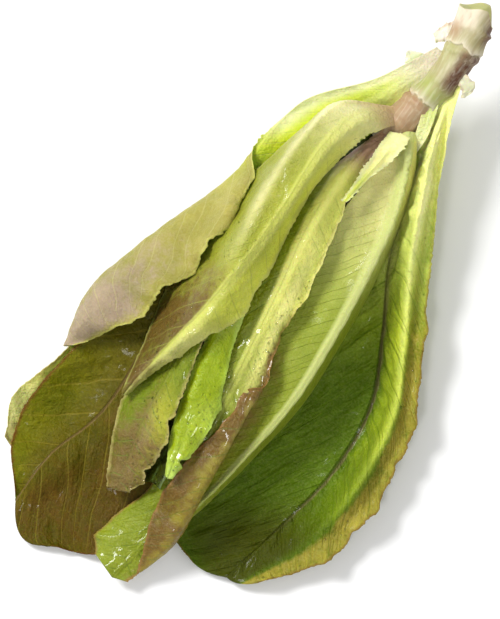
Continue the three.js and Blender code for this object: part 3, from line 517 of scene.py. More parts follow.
def layThePile():
    heights = np.full((pileGrid["rows"], pileGrid["columns"]), -leafGap - flatDepth)
    for name, leaf in pile:
        if name == "stem":
            s = np.linspace(0, 1, stemSamples[0])
            centre = along(stem["axis"], s)
            radius = along(np.array(stem["radius"], float)[:, None], s)
            out = np.linspace(-1, 1, stemSamples[1])[None, :] * radius
            top = centre[:, 2:3] + np.sqrt(np.maximum(radius ** 2 - out ** 2, 0))
            np.maximum.at(heights, spot(centre[:, 0:1] + out, centre[:, 1:2] + 0 * out), top)
            continue
        counts = beforeRoll if leaf is wrapLeaf else everywhere
        leaf["lift"] = liftOver(leaf, heights, counts)
        heights = raiseHeights(leaf, heights, counts)
        if leaf is centerLeaf:
            paleLobe["lift"] = liftOver(paleLobe, heights, everywhere, 2)
    wrapLeaf["flapLift"] = liftOver(wrapLeaf, heights, onFlap, 2)


# Fine form of a blade. All leaves share one soft heave, so it never brings two of them together.
heave = {"long": (36, 1.3, 3), "short": (15, 0.55, 5), "fadeStart": 70, "fadeEnd": 98, "low": 1.5, "high": 9}
rimFade = 2.2
faceHalf = (0.3, 0.15)  # half the blade's thickness at the midrib and at the margin
lowestFace = {1: 0.75, -1: 0.35}  # how far above the floor the upper and the lower face stay at least


def sharedHeave(x, y, z):
    total = sum(height * grain(x, y, size, seed) for size, height, seed in (heave["long"], heave["short"]))
    lifted = smooth(heave["low"], heave["high"], z)
    return total * lifted * (1 - smooth(heave["fadeStart"], heave["fadeEnd"], y))


def jaggedEdge(leaf, arc, s, side, seed):
    depth, spacing = leaf["teeth"]
    x = arc / spacing + seed * 1.7 + side
    wander = x + 0.35 * np.sin(2.3 * x + seed) + 0.2 * np.sin(5.1 * x)
    tooth = 1 - (wander % 1)
    coarse = 0.55 + 0.45 * grain(x, 0 * x, 3.0, seed + 40)
    fine = 0.3 * grain(arc, 0 * arc, 1.3, seed + 60)
    reach = depth * (coarse * tooth ** 1.4 + fine) + 0.9 * grain(arc, 0 * arc, 13, seed + 80 + side)
    bites = 0 * s
    for edge, at, width, size in leaf["bites"]:
        bites = bites + (size * bump(at, width, s) if edge == side else 0)
    return reach, bites


def veinPlaces(leaf, arc, distance, side, seed):
    # a number that passes through a whole value at each side vein, with the veins unevenly spaced
    spacing, lean, depth = leaf["veins"]
    random = np.random.default_rng(200 + seed * 2 + (side > 0))
    starts = np.cumsum(random.uniform(0.6, 1.4, 60)) * spacing - 6 * spacing
    drift = 1.6 * grain(arc, distance, 14, seed + 20) + 0.6 * grain(arc, distance, 5, seed + 21)
    path = arc - lean * distance - 0.006 * distance ** 2 + drift
    return np.interp(path, starts, np.arange(60.0))


def addFolds(leaf, z, s, across):
    # a fold: its place across at the base and at the tip, width, height, start and end
    for atBase, atTip, width, height, start, end in leaf["folds"]:
        within = smooth(start, start + 0.12, s) * (1 - smooth(end - 0.15, end, s))
        foldAt = (atBase + (atTip - atBase) * s)[:, None]
        z = z + height * within[:, None] * bump(foldAt, width, across)
    return z


def leafHalf(leaf, side, seed, s, centre, arc):
    # one half of a leaf from the midrib to the margin, and what is known of each of its points
    halfRib, swell = ribAt(leaf, s)
    bandHalf = (leaf["band"][0] + (leaf["band"][1] - leaf["band"][0]) * s)[:, None]
    grow = smooth(*leaf["evenTo"], s)[:, None]
    p = crossSection(leaf, s, side, np.linspace(0, 1, leaf["detail"][1] + 1) ** 0.9)
    share, distance = p["share"], p["distance"]
    fine, bites = jaggedEdge(leaf, arc, s, side, seed)
    jag = fine[:, None] * grow * smooth(0.8, 1, share) + bites[:, None] * smooth(0.45, 1, share)
    z = addFolds(leaf, p["z"] + wave(leaf, s, share, side) + leafLift(leaf, p), s, share * side)
    point = np.stack([p["x"], p["y"], z], -1)
    ahead = centre[-1] - centre[-6]
    tip = leaf["bulge"][side > 0] * smooth(0.88, 1, s)[:, None] * 4 * share * (1 - share)
    point[..., :2] += tip[..., None] * ahead[:2] / np.hypot(*ahead[:2])
    out = np.gradient(point, axis=1)
    out /= np.maximum(np.linalg.norm(out, axis=-1, keepdims=True), 1e-6)
    ruffle = 0.7 * grain(arc[:, None] + 0 * z, 30 * side + 0 * z, 4.5, seed + 30)
    ruffle = ruffle * smooth(0.7, 1, share) * grow
    point = point + out * jag[..., None]
    point[..., 2] += ruffle + sharedHeave(point[..., 0], point[..., 1], point[..., 2])
    place = veinPlaces(leaf, arc[:, None] + 0 * distance, distance, side, seed)
    clear = smooth(0.5, 1.3, distance / bandHalf) * smooth(0.03, 0.15, s)[:, None]
    swellWide, swellHigh = leaf["swell"]
    fromRib = np.clip(distance / (halfRib[:, None] * swellWide), 0, 1)
    depth, dense, length, until = leaf["wrinkles"]
    crease = depth * (0.35 - np.abs(grain(place * dense, distance / length, 1.0, seed + 90)))
    return {
        "point": point, "side": side + 0 * z, "share": share * side, "distance": distance + jag,
        "toEdge": p["length"] - distance, "ribPlace": side * distance / bandHalf,
        "veinPlace": place + 100 * (side > 0), "off": np.abs(((place + 0.5) % 1) - 0.5),
        "clear": clear * (1 - 0.5 * share), "crease": crease * smooth(until + 0.2, until, share * side),
        "swell": swellHigh * swell[:, None] * (0.5 + 0.5 * np.cos(math.pi * fromRib)),
    }


def nowhere(s, t):
    return 0 * s


def leafMesh(name, leaf, seed):
    s = np.linspace(0, 1, leaf["detail"][0] + 1)
    centre = along(leaf["mid"], s)
    arc = np.concatenate([[0], np.cumsum(np.linalg.norm(np.diff(centre, axis=0), axis=1))])
    left, right = [leafHalf(leaf, side, seed, s, centre, arc) for side in (-1, 1)]
    whole = {key: np.concatenate([left[key][:, :0:-1], right[key]], 1) for key in left}
    point = whole["point"]
    normal = np.cross(np.gradient(point, axis=0), np.gradient(point, axis=1))
    normal /= np.maximum(np.linalg.norm(normal, axis=-1, keepdims=True), 1e-9)
    outward = 1 if leaf["outerUp"] else -1
    inside = smooth(0, rimFade, whole["toEdge"]) * smooth(0, 0.02, s)[:, None] * smooth(1, 0.985, s)[:, None]
    furrow = leaf["veins"][2] * (np.exp(-(whole["off"] / 0.09) ** 2) - 0.8 * smooth(0.05, 0.5, whole["off"]))
    bandRise = -0.3 * (1 - smooth(0.5, 1.0, np.abs(whole["ribPlace"]))) * (0 if leaf["outerUp"] else 1)
    unevenVein = 0.55 + 0.45 * grain(point[..., 0], point[..., 1], 11, seed + 95)
    veinRise = outward * (furrow * whole["clear"] * unevenVein + bandRise)
    relief = (veinRise + whole["crease"] * whole["clear"]) * inside
    point = point + normal * relief[..., None]
    half = faceHalf[0] + (faceHalf[1] - faceHalf[0]) * np.abs(whole["share"])
    sheets = []
    for face in (1, -1):
        swollen = whole["swell"] if (leaf["outerUp"] == (face > 0)) else 0
        sheet = point + normal * (face * (half + swollen))[..., None]
        sheet[..., 2] = np.maximum(sheet[..., 2], lowestFace[face])
        sheets.append(sheet.reshape(-1, 3))
    vertices = (np.concatenate(sheets) + planShift) / perMetre
    across = whole["share"]
    long = s[:, None] + 0 * across
    grow = smooth(*leaf["evenTo"], s)[:, None]
    masks = {"ribPlace": whole["ribPlace"], "veinPlace": whole["veinPlace"], "clear": whole["clear"],
             "toEdge": whole["toEdge"] + 6 * (1 - grow), "along": long, "inside": inside,
             "acrossPlace": across}
    rules = {"lime": nowhere, "pale": nowhere, "blush": nowhere, **leaf["paint"]}
    masks.update({key: np.clip(rule(long, across), 0, 1) for key, rule in rules.items()})
    masks = {key: np.tile(value.reshape(-1), 2) for key, value in masks.items()}
    isTop = np.repeat([1.0, 0.0], across.size)
    masks["outer"] = isTop if leaf["outerUp"] else 1 - isTop
    masks["faceSign"] = 2 * isTop - 1
    flat = np.stack([whole["side"] * whole["distance"] / 100, arc[:, None] / 100 + seed + 0 * across], -1)
    return makeMesh(name, vertices, shellFaces(*across.shape), masks, np.tile(flat.reshape(-1, 2), (2, 1)))


def shellFaces(n, m):
    # quads of a closed thin shell: a grid on top, the same grid below, and the rims between them
    index = np.arange(n * m).reshape(n, m)
    k = n * m
    a, b, c, d = index[:-1, :-1], index[1:, :-1], index[1:, 1:], index[:-1, 1:]
    top = np.stack([a, b, c, d], -1).reshape(-1, 4)
    under = np.stack([a, d, c, b], -1).reshape(-1, 4) + k
    left, right, base, tip = index[:, 0], index[:, -1], index[0], index[-1]
    rims = [np.stack([left[:-1] + k, left[1:] + k, left[1:], left[:-1]], -1),
            np.stack([right[:-1], right[1:], right[1:] + k, right[:-1] + k], -1),
            np.stack([base[:-1] + k, base[:-1], base[1:], base[1:] + k], -1),
            np.stack([tip[:-1], tip[:-1] + k, tip[1:] + k, tip[1:]], -1)]
    return np.concatenate([top, under] + rims).tolist()


def place(name, data):
    thing = bpy.data.objects.new(name, data)
    bpy.context.collection.objects.link(thing)
    return thing


def makeMesh(name, vertices, polygons, masks, uv=None):
    mesh = bpy.data.meshes.new(name)
    mesh.from_pydata(vertices.tolist(), [], polygons)
    for key, value in masks.items():
        mesh.attributes.new(key, "FLOAT", "POINT").data.foreach_set("value", value.astype(np.float32))
    if uv is not None:
        loops = np.empty(len(mesh.loops), int)
        mesh.loops.foreach_get("vertex_index", loops)
        layer = mesh.uv_layers.new(name="leafMap")
        layer.data.foreach_set("uv", uv[loops].astype(np.float32).reshape(-1))
    mesh.polygons.foreach_set("use_smooth", np.ones(len(mesh.polygons), bool))
    mesh.update()
    return place(name, mesh)


# Node helpers

def addNode(tree, kind, inputs=None, **settings):
    node = tree.nodes.new(kind)
    for key, value in settings.items():
        setattr(node, key, value)
    for key, value in (inputs or {}).items():
        if isinstance(value, bpy.types.NodeSocket):
            tree.links.new(value, node.inputs[key])
        else:
            node.inputs[key].default_value = value
    return node


def maths(tree, operation, a, b=0.0, clamp=False):
    return addNode(tree, "ShaderNodeMath", {0: a, 1: b}, operation=operation, use_clamp=clamp).outputs[0]


def times(tree, a, b, clamp=False):
    return maths(tree, "MULTIPLY", a, b, clamp)


def plus(tree, a, b):
    return maths(tree, "ADD", a, b)


def remap(tree, value, low, high, toLow=0.0, toHigh=1.0):
    return addNode(tree, "ShaderNodeMapRange", {0: value, 1: low, 2: high, 3: toLow, 4: toHigh}).outputs[0]


def noise(tree, where, scale, detail, **more):
    inputs = {"Vector": where, "Scale": scale, "Detail": detail, **more}
    return addNode(tree, "ShaderNodeTexNoise", inputs).outputs[0]


def blendColor(tree, factor, a, b, mode="MIX"):
    mix = addNode(tree, "ShaderNodeMix", {0: factor, 6: a, 7: b}, data_type="RGBA", blend_type=mode)
    return mix.outputs[2]


def mask(tree, name):
    return addNode(tree, "ShaderNodeAttribute", attribute_name=name).outputs["Fac"]


def named(tree, name, kind="FLOAT"):
    # the same values as mask, read in a Geometry Nodes tree
    return addNode(tree, "GeometryNodeInputNamedAttribute", {"Name": name}, data_type=kind).outputs[0]


def paint(color):
    # a colour as seen on a screen, 0 to 255, as the linear value that a shader takes
    return tuple(((c / 255 + 0.055) / 1.055) ** 2.4 for c in color) + (1,)


# Geometry Nodes trees: each takes a shape, some numbers and a material, and puts out a shape

def startTree(name, numbers, skin):
    tree = bpy.data.node_groups.new(name, "GeometryNodeTree")
    sockets = tree.interface
    sockets.new_socket(name="Geometry", in_out="INPUT", socket_type="NodeSocketGeometry")
    for key, value in numbers.items():
        kind = "NodeSocketInt" if isinstance(value, int) else "NodeSocketFloat"
        sockets.new_socket(name=key, in_out="INPUT", socket_type=kind).default_value = value
    sockets.new_socket(name=skin, in_out="INPUT", socket_type="NodeSocketMaterial")
    sockets.new_socket(name="Geometry", in_out="OUTPUT", socket_type="NodeSocketGeometry")
    return tree, tree.nodes.new("NodeGroupInput").outputs


def endTree(tree, shape, skin):
    whole = addNode(tree, "GeometryNodeRealizeInstances", {"Geometry": shape.outputs[0]}).outputs[0]
    skinned = addNode(tree, "GeometryNodeSetMaterial", {"Geometry": whole, "Material": skin}).outputs[0]
    tree.links.new(skinned, tree.nodes.new("NodeGroupOutput").inputs[0])
    return tree


def socketId(tree, name):
    inputs = [item for item in tree.interface.items_tree if item.in_out == "INPUT"]
    return next(item.identifier for item in inputs if item.name == name)


def runTree(piece, tree, values):
    # runs the tree on the piece and leaves a plain mesh
    modifier = piece.modifiers.new("shape", "NODES")
    modifier.node_group = tree
    for key, value in values.items():
        modifier[socketId(tree, key)] = value
    evaluated = piece.evaluated_get(bpy.context.evaluated_depsgraph_get())
    mesh = bpy.data.meshes.new_from_object(evaluated)
    piece.modifiers.clear()
    piece.data = mesh
    return piece


# Fine blisters over a leaf, alike on both of its faces
blisters = {"Blister Size": 7.0, "Blister Depth": 0.6, "Grain Size": 2.4, "Grain Depth": 0.1}


def buildBlisterTree():
    tree, given = startTree("leafBlisters", blisters, "Skin")
    where = named(tree, "leafMap", "FLOAT_VECTOR")
    total = 0.0
    for size, depth in (("Blister Size", "Blister Depth"), ("Grain Size", "Grain Depth")):
        swell = noise(tree, where, maths(tree, "DIVIDE", 100.0, given[size]), 1.0)
        total = plus(tree, total, times(tree, maths(tree, "SUBTRACT", swell, 0.5), given[depth]))
    outward = times(tree, named(tree, "faceSign"), 2 * mm)
    rise = times(tree, times(tree, total, named(tree, "inside")), outward)
    normal = addNode(tree, "GeometryNodeInputNormal").outputs[0]
    offset = addNode(tree, "ShaderNodeVectorMath", {0: normal, "Scale": rise}, operation="SCALE").outputs[0]
    moved = addNode(tree, "GeometryNodeSetPosition", {"Geometry": given["Geometry"], "Offset": offset})
    return endTree(tree, moved, given["Skin"])


# Small round drops of water on the upper side of a wet leaf, their sizes in millimetres
dew = {"Per Square Metre": 140000.0, "Smallest": 0.18, "Largest": 0.6, "Seed": 11}
dropShape = {"Segments": 8, "Rings": 4, "Radius": mm}
dropHeight = 0.55  # as a share of its half width


def buildDewTree():
    tree, given = startTree("dewDrops", dew, "Water")
    wetSpots = times(tree, named(tree, "dewSpot"), named(tree, "faceSign"), True)
    density = times(tree, given["Per Square Metre"], wetSpots)
    scatter = addNode(tree, "GeometryNodeDistributePointsOnFaces",
                      {"Mesh": given["Geometry"], "Density": density, "Seed": given["Seed"]}).outputs
    ball = addNode(tree, "GeometryNodeMeshUVSphere", dropShape).outputs[0]
    drop = addNode(tree, "GeometryNodeSetShadeSmooth", {"Geometry": ball}).outputs[0]
    size = addNode(tree, "FunctionNodeRandomValue", {2: given["Smallest"], 3: given["Largest"], "Seed": 3},
                   data_type="FLOAT").outputs[1]
    squat = addNode(tree, "ShaderNodeCombineXYZ", {0: size, 1: size, 2: times(tree, size, dropHeight)})
    placed = addNode(tree, "GeometryNodeInstanceOnPoints",
                     {"Points": scatter["Points"], "Instance": drop,
                      "Rotation": scatter["Rotation"], "Scale": squat.outputs[0]})
    return endTree(tree, placed, given["Water"])


# Shared shader groups

def startGroup(name, inputs, outputs):
    tree = bpy.data.node_groups.new(name, "ShaderNodeTree")
    sockets = tree.interface
    for key, value in inputs.items():
        sockets.new_socket(name=key, in_out="INPUT", socket_type="NodeSocketFloat").default_value = value
    for key in outputs:
        sockets.new_socket(name=key, in_out="OUTPUT", socket_type="NodeSocketFloat")
    return tree, tree.nodes.new("NodeGroupInput").outputs, tree.nodes.new("NodeGroupOutput").inputs


def lineOf(tree, off, width):
    # 1 on a line, down to 0 at its width
    return maths(tree, "SUBTRACT", 1.0, maths(tree, "DIVIDE", off, width), True)


def buildVeins():
    # Side is the side veins as crisp lines, and Net is the finer net between them. Cells is how the net
    # stands up, and Ridges are fine folds that run with the side veins.
    inputs = {"Side Width": 0.045, "Net Scale": 11.0, "Net Width": 0.03}
    tree, given, put = startGroup("leafVeins", inputs, ["Side", "Net", "Cells", "Ridges"])
    veinPlace = mask(tree, "veinPlace")
    place = maths(tree, "FRACT", plus(tree, veinPlace, 0.5))
    off = maths(tree, "ABSOLUTE", maths(tree, "SUBTRACT", place, 0.5))
    side = lineOf(tree, off, given["Side Width"])
    tree.links.new(times(tree, side, mask(tree, "clear")), put["Side"])
    uv = addNode(tree, "ShaderNodeUVMap", uv_map="leafMap").outputs[0]
    out = addNode(tree, "ShaderNodeSeparateXYZ", {0: uv}).outputs[0]
    drawn = addNode(tree, "ShaderNodeCombineXYZ", {0: times(tree, veinPlace, 5.0), 1: times(tree, out, 9.0)})
    folds = noise(tree, drawn.outputs[0], 1.0, 2.0, Distortion=0.6)
    tree.links.new(remap(tree, folds, 0.35, 0.68), put["Ridges"])
    drift = addNode(tree, "ShaderNodeTexNoise", {"Vector": uv, "Scale": 16.0, "Detail": 3.0}).outputs["Color"]
    centred = addNode(tree, "ShaderNodeVectorMath", {0: drift, 1: (-0.5, -0.5, -0.5)}, operation="ADD")
    bent = addNode(tree, "ShaderNodeVectorMath", {0: centred.outputs[0], "Scale": 0.06}, operation="SCALE")
    where = addNode(tree, "ShaderNodeVectorMath", {0: uv, 1: bent.outputs[0]}, operation="ADD").outputs[0]
    edges = []
    for finer in (1.0, 2.7):
        inputs = {"Vector": where, "Scale": times(tree, given["Net Scale"], finer)}
        cells = addNode(tree, "ShaderNodeTexVoronoi", inputs, feature="DISTANCE_TO_EDGE")
        edges.append(cells.outputs["Distance"])
    thick, thin = [lineOf(tree, edge, given["Net Width"]) for edge in edges]
    tree.links.new(maths(tree, "MAXIMUM", thick, times(tree, thin, 0.4)), put["Net"])
    tree.links.new(maths(tree, "MINIMUM", times(tree, edges[1], 3.0), 1.0), put["Cells"])
    return tree


def buildMottling():
    # uneven patches, flecks, specks and soft ripples, in the piece's own space
    tree, given, put = startGroup("leafMottling", {"Patch Size": 45, "Speck Size": 900},
                                  ["Patches", "Flecks", "Specks", "Ripples"])
    where = addNode(tree, "ShaderNodeTexCoord").outputs["Object"]
    fleckSize = times(tree, given["Patch Size"], 5.0)
    rippleSize = times(tree, given["Patch Size"], 7.0)
    layers = {"Patches": (noise(tree, where, given["Patch Size"], 4.0), 0.34, 0.68),
              "Flecks": (noise(tree, where, fleckSize, 4.0, Roughness=0.65), 0.34, 0.68),
              "Specks": (noise(tree, where, given["Speck Size"], 2.0), 0.42, 0.72),
              "Ripples": (noise(tree, where, rippleSize, 1.0), 0.3, 0.7)}
    for key, (values, low, high) in layers.items():
        tree.links.new(remap(tree, values, low, high), put[key])
    return tree


veinLines = buildVeins()
mottling = buildMottling()
blisterTree = buildBlisterTree()
dewTree = buildDewTree()
print("shared finishes and trees built")


def newMaterial(name, finish):
    # a material with its even values set on the shader's own sockets
    material = bpy.data.materials.new(name)
    material.use_nodes = True
    skin = material.node_tree.nodes["Principled BSDF"]
    for key, value in finish.items():
        skin.inputs[key].default_value = value
    return material, material.node_tree, skin


# Leaf skin
leafFinish = {"Coat Roughness": 0.09, "Subsurface Weight": 0.28, "Subsurface Radius": (0.6, 1.0, 0.2),
              "Subsurface Scale": 0.0015}
# dark and light tint the uneven patches; ridge lightens the tops of the fine folds, a painted highlight
leafTints = {"dark": (0.6, 0.66, 0.45, 1), "light": (1.22, 1.18, 1.0, 1), "ridge": (1.5, 1.45, 1.1, 1)}
leafBump = 0.0005


def leafColor(tree, leaf, veins, patch, unpaled, folds):
    def over(color, amount, tone):
        return blendColor(tree, amount, color, paint(leaf[tone]))

    def tinted(color, tint):
        return blendColor(tree, 1.0, color, leafTints[tint], "MULTIPLY")

    color = blendColor(tree, mask(tree, "outer"), paint(leaf["inner"]), paint(leaf["outer"]))
    color = over(color, mask(tree, "lime"), "lime")
    color = over(color, mask(tree, "pale"), "pale")
    uneven = times(tree, plus(tree, patch["Flecks"], patch["Patches"]), 0.5)
    ragged = remap(tree, plus(tree, mask(tree, "blush"), uneven), 0.55, 1.35)
    color = over(color, times(tree, ragged, remap(tree, mask(tree, "blush"), 0.0, 0.2)), "blush")
    tone = plus(tree, times(tree, patch["Patches"], 0.6), times(tree, patch["Flecks"], 0.4))
    mottled = blendColor(tree, tone, tinted(color, "dark"), tinted(color, "light"))
    color = blendColor(tree, leaf["mottle"], color, mottled)
    # the tops of the fine folds painted lighter: a painted highlight
    ridgeHighlight = times(tree, remap(tree, folds, 0.45, 1.0), 0.3 * leaf["ridgesAndHighlight"])
    color = blendColor(tree, ridgeHighlight, color, tinted(color, "ridge"))
    color = over(color, times(tree, patch["Specks"], 0.06), "pale")
    color = over(color, times(tree, veins["Net"], leaf["net"]), "vein")
    color = over(color, times(tree, times(tree, veins["Side"], 0.7), unpaled), "vein")
    rib = remap(tree, maths(tree, "ABSOLUTE", mask(tree, "ribPlace")), 1.05, 0.6, 0.0, leaf["band"][2])
    rib = times(tree, rib, remap(tree, mask(tree, "along"), *leaf["ribFade"], 1.0, 0.0))
    rib = times(tree, rib, remap(tree, mask(tree, "along"), *leaf["ribStart"], 0.0, 1.0))
    color = over(color, rib, "rib")
    # stain: a leaf's pink foot or own stain, and on the dark leaf a painted shade
    if "stain" in leaf:
        color = over(color, mask(tree, "stain"), "stain")
    edge = remap(tree, plus(tree, mask(tree, "toEdge"), patch["Flecks"]), 2.2, 0.6)
    return over(color, times(tree, times(tree, edge, unpaled), 0.8), "edge")


def leafHeight(tree, leaf, veins, patch, folds):
    # how far each fine form stands up, as a share of leafBump
    forms = [(veins["Cells"], 0.3), (patch["Specks"], 0.25), (patch["Flecks"], 0.6 - 0.3 * leaf["wet"]),
             # the same amount also paints the fold tops lighter in leafColor
             (patch["Ripples"], 0.4 * leaf["wet"]), (folds, 0.9 * leaf["ridgesAndHighlight"]),
             (veins["Side"], 0.4 * leaf["wet"] - 0.5)]
    height = 0.0
    for form, amount in forms:
        height = plus(tree, height, times(tree, form, amount))
    return height


def leafMaterial(name, leaf):
    material, tree, skin = newMaterial(name, leafFinish)
    veins = addNode(tree, "ShaderNodeGroup", node_tree=veinLines).outputs
    patch = addNode(tree, "ShaderNodeGroup", node_tree=mottling).outputs
    unpaled = remap(tree, mask(tree, "pale"), 0.0, 1.0, 1.0, 0.15)  # weakens lines where a leaf is pale
    folds = times(tree, veins["Ridges"], unpaled)
    tree.links.new(leafColor(tree, leaf, veins, patch, unpaled, folds), skin.inputs["Base Color"])
    dull = 0.55 - 0.15 * leaf["wet"]
    tree.links.new(remap(tree, patch["Flecks"], 0.0, 1.0, dull, dull - 0.14), skin.inputs["Roughness"])
    height = leafHeight(tree, leaf, veins, patch, folds)
    bumps = {"Height": height, "Strength": leaf["rough"], "Distance": leafBump}
    relief = addNode(tree, "ShaderNodeBump", bumps)
    tree.links.new(relief.outputs[0], skin.inputs["Normal"])
    wetPatches = times(tree, remap(tree, patch["Patches"], 0.3, 0.8), leaf["wet"])
    tree.links.new(wetPatches, skin.inputs["Coat Weight"])
    skin.inputs["Specular IOR Level"].default_value = leaf["gloss"]
    return material


# Water
waterFinish = {"Base Color": (0.97, 1.0, 0.95, 1), "Transmission Weight": 1.0, "IOR": 1.33}


def waterMaterial():
    material, tree, skin = newMaterial("dewWater", waterFinish)
    cloud = noise(tree, addNode(tree, "ShaderNodeTexCoord").outputs["Object"], 300.0, 2.0)
    tree.links.new(remap(tree, cloud, 0.3, 0.7, 0.02, 0.06), skin.inputs["Roughness"])
    return material


# The stem, with its scars, the torn rims at its nodes and its cut face
# axis and radius run from the growing tip to the cut. scars: place, height and facing. collars, the torn
# rims at the nodes: place, height and seed. Colours are as seen on a screen.
stem = {
    "axis": [(7, 90, 30), (9, 99, 31.5), (12, 111, 33.5), (15, 124, 36), (18, 137, 39), (18.5, 149, 42),
             (17, 161, 45), (14, 173.5, 47.5)],
    "radius": [3, 5.8, 8.2, 7.7, 7.8, 8.3, 8.6, 9.1],
    "scars": [(0.27, 0.9, 1.2), (0.4, 1.3, 2.6), (0.56, 0.8, 0.4), (0.76, 1.4, 0.9), (0.9, 1.3, 0.1)],
    "collars": [(0.44, 1.5, 5), (0.79, 1.4, 9)],
    "detail": (240, 96), "capRings": 12, "capDent": 0.5, "cream": (152, 144, 92),
    "white": (222, 212, 190), "green": (160, 168, 92), "pink": (166, 134, 102), "purple": (88, 52, 34),
    "cut": (176, 176, 112),
}
stemFinish = {"Roughness": 0.5, "Specular IOR Level": 0.3, "Subsurface Weight": 0.3,
              "Subsurface Radius": (1.0, 0.8, 0.5), "Subsurface Scale": 0.003}


def stemMasks(s, c, rim):
    # c is 1 on the stem's right side and -1 on its left
    pink = smooth(0.1, 0.2, s) * smooth(0.45, 0.42, s) + smooth(0.78, 0.86, s) * smooth(-0.3, -0.8, c)
    purple = smooth(0.5, 0.6, s) * smooth(0.8, 0.76, s) * smooth(-0.25, 0.3, c)
    purple = purple + smooth(0.8, 0.88, s) * smooth(0.35, 0.85, c)
    green = bump(0.5, 0.07, s) + 0.5 * bump(0.72, 0.1, s) * smooth(0.3, -0.6, c)
    whiteTop = smooth(0.85, 0.95, s) * (1 - smooth(-0.1, 0.4, c))
    return {"pink": pink, "purple": purple, "green": green, "rim": np.clip(rim + whiteTop, 0, 1)}


def stemMesh():
    rings, sides = stem["detail"]
    s = np.linspace(0, 1, rings + 1)
    centre = along(stem["axis"], s)
    ahead = np.gradient(centre, axis=0)
    ahead /= np.linalg.norm(ahead, axis=1, keepdims=True)
    across = np.cross(ahead, (0, 0, 1))
    across /= np.linalg.norm(across, axis=1, keepdims=True)
    up = np.cross(across, ahead)
    angle = np.linspace(0, 2 * math.pi, sides, endpoint=False)[None, :]
    s2 = s[:, None]
    turnX, turnY = 9 * np.cos(angle), 9 * np.sin(angle)
    r = along(np.array(stem["radius"], float)[:, None], s) * (1 + 0.05 * np.cos(3 * angle + 4 * s2))
    r = r + 0.3 * grain(turnX + 3 * s2, turnY + 0 * s2, 2.6, 71)
    r = r + 0.5 * grain(turnX + 20 * s2, turnY + 9 * s2, 7, 72)
    for at, height, facing in stem["scars"]:
        scar = height * bump(at, 0.022, s2 + 0.008 * np.sin(3 * angle))
        r = r + scar * (0.55 + 0.45 * np.cos(angle - facing))
    rim = np.zeros_like(r)
    for at, height, seed in stem["collars"]:
        tear = at + 0.012 * grain(turnX, turnY, 1.6, seed) + 0.02 * grain(turnX, turnY, 6, seed + 1)
        past = s2 - tear
        r = r + height * smooth(-0.004, 0.004, past) * np.exp(-np.maximum(past, 0) / 0.06)
        rim = np.maximum(rim, smooth(-0.004, 0.002, past) * np.exp(-np.maximum(past, 0) / 0.02))
    c, h = np.cos(angle), np.sin(angle)
    # the cut isn't square: it runs back on the right side and a little on the top
    push = 3.2 - 3.6 * smooth(0.2, -1, c) - 9.0 * smooth(0.4, 1, c) - 2.4 * np.maximum(h, 0)
    point = centre[:, None] + r[..., None] * (c[..., None] * across[:, None] + h[..., None] * up[:, None])
    point = point + ahead[:, None] * (push * smooth(0.86, 1, s2))[..., None]
    layers = [point]
    middle = point[-1].mean(0)
    for share in np.linspace(1, 0, stem["capRings"], endpoint=False)[1:]:
        dent = stem["capDent"] * (1 - share ** 2) + 0.15 * np.sin(9 * angle[0] + 20 * share)
        layers.append((middle + (point[-1] - middle) * share - ahead[-1] * dent[:, None])[None])
    grid = np.concatenate(layers)
    n = len(grid)
    vertices = np.vstack([grid.reshape(-1, 3), centre[0] - ahead[0], middle - stem["capDent"] * ahead[-1]])
    index = np.arange(n * sides).reshape(n, sides)
    nextOne = np.roll(index, -1, 1)
    quads = np.stack([index[:-1], index[1:], nextOne[1:], nextOne[:-1]], -1).reshape(-1, 4).tolist()
    tip, end = n * sides, n * sides + 1
    fans = [[tip, int(a), int(b)] for a, b in zip(index[0], nextOne[0])]
    fans += [[end, int(b), int(a)] for a, b in zip(index[-1], nextOne[-1])]
    cap = (n - rings - 1) * sides
    masks = {key: np.concatenate([value.reshape(-1), np.zeros(cap + 2)])
             for key, value in stemMasks(s2, c, rim).items()}
    masks["cut"] = np.concatenate([np.zeros((rings + 1) * sides), np.ones(cap), [0, 1]])
    return makeMesh("stemBody", (vertices + planShift) / perMetre, quads + fans, masks)


def stemMaterial():
    material, tree, skin = newMaterial("stemSkin", stemFinish)
    patch = addNode(tree, "ShaderNodeGroup", node_tree=mottling).outputs
    where = addNode(tree, "ShaderNodeTexCoord").outputs["Object"]
    drawn = addNode(tree, "ShaderNodeMapping", {"Vector": where, "Scale": (1.0, 0.06, 1.0)}).outputs[0]
    fibres = noise(tree, drawn, 700.0, 3.0)
    whiter = times(tree, patch["Patches"], 0.5)
    uneven = plus(tree, 0.7, times(tree, patch["Flecks"], 0.4))
    layers = [("white", whiter)]
    layers += [(key, times(tree, mask(tree, key), uneven, True)) for key in ("green", "pink", "purple")]
    layers += [("white", times(tree, mask(tree, "rim"), 0.75)),
               ("white", remap(tree, fibres, 0.5, 0.68, 0.0, 0.25)),
               ("pink", remap(tree, fibres, 0.47, 0.33, 0.0, 0.3)), ("cut", mask(tree, "cut"))]
    color = paint(stem["cream"])
    for tone, amount in layers:
        color = blendColor(tree, amount, color, paint(stem[tone]))
    tree.links.new(color, skin.inputs["Base Color"])
    relief = addNode(tree, "ShaderNodeBump", {"Height": fibres, "Strength": 0.5, "Distance": 0.0004})
    tree.links.new(relief.outputs[0], skin.inputs["Normal"])
    return material


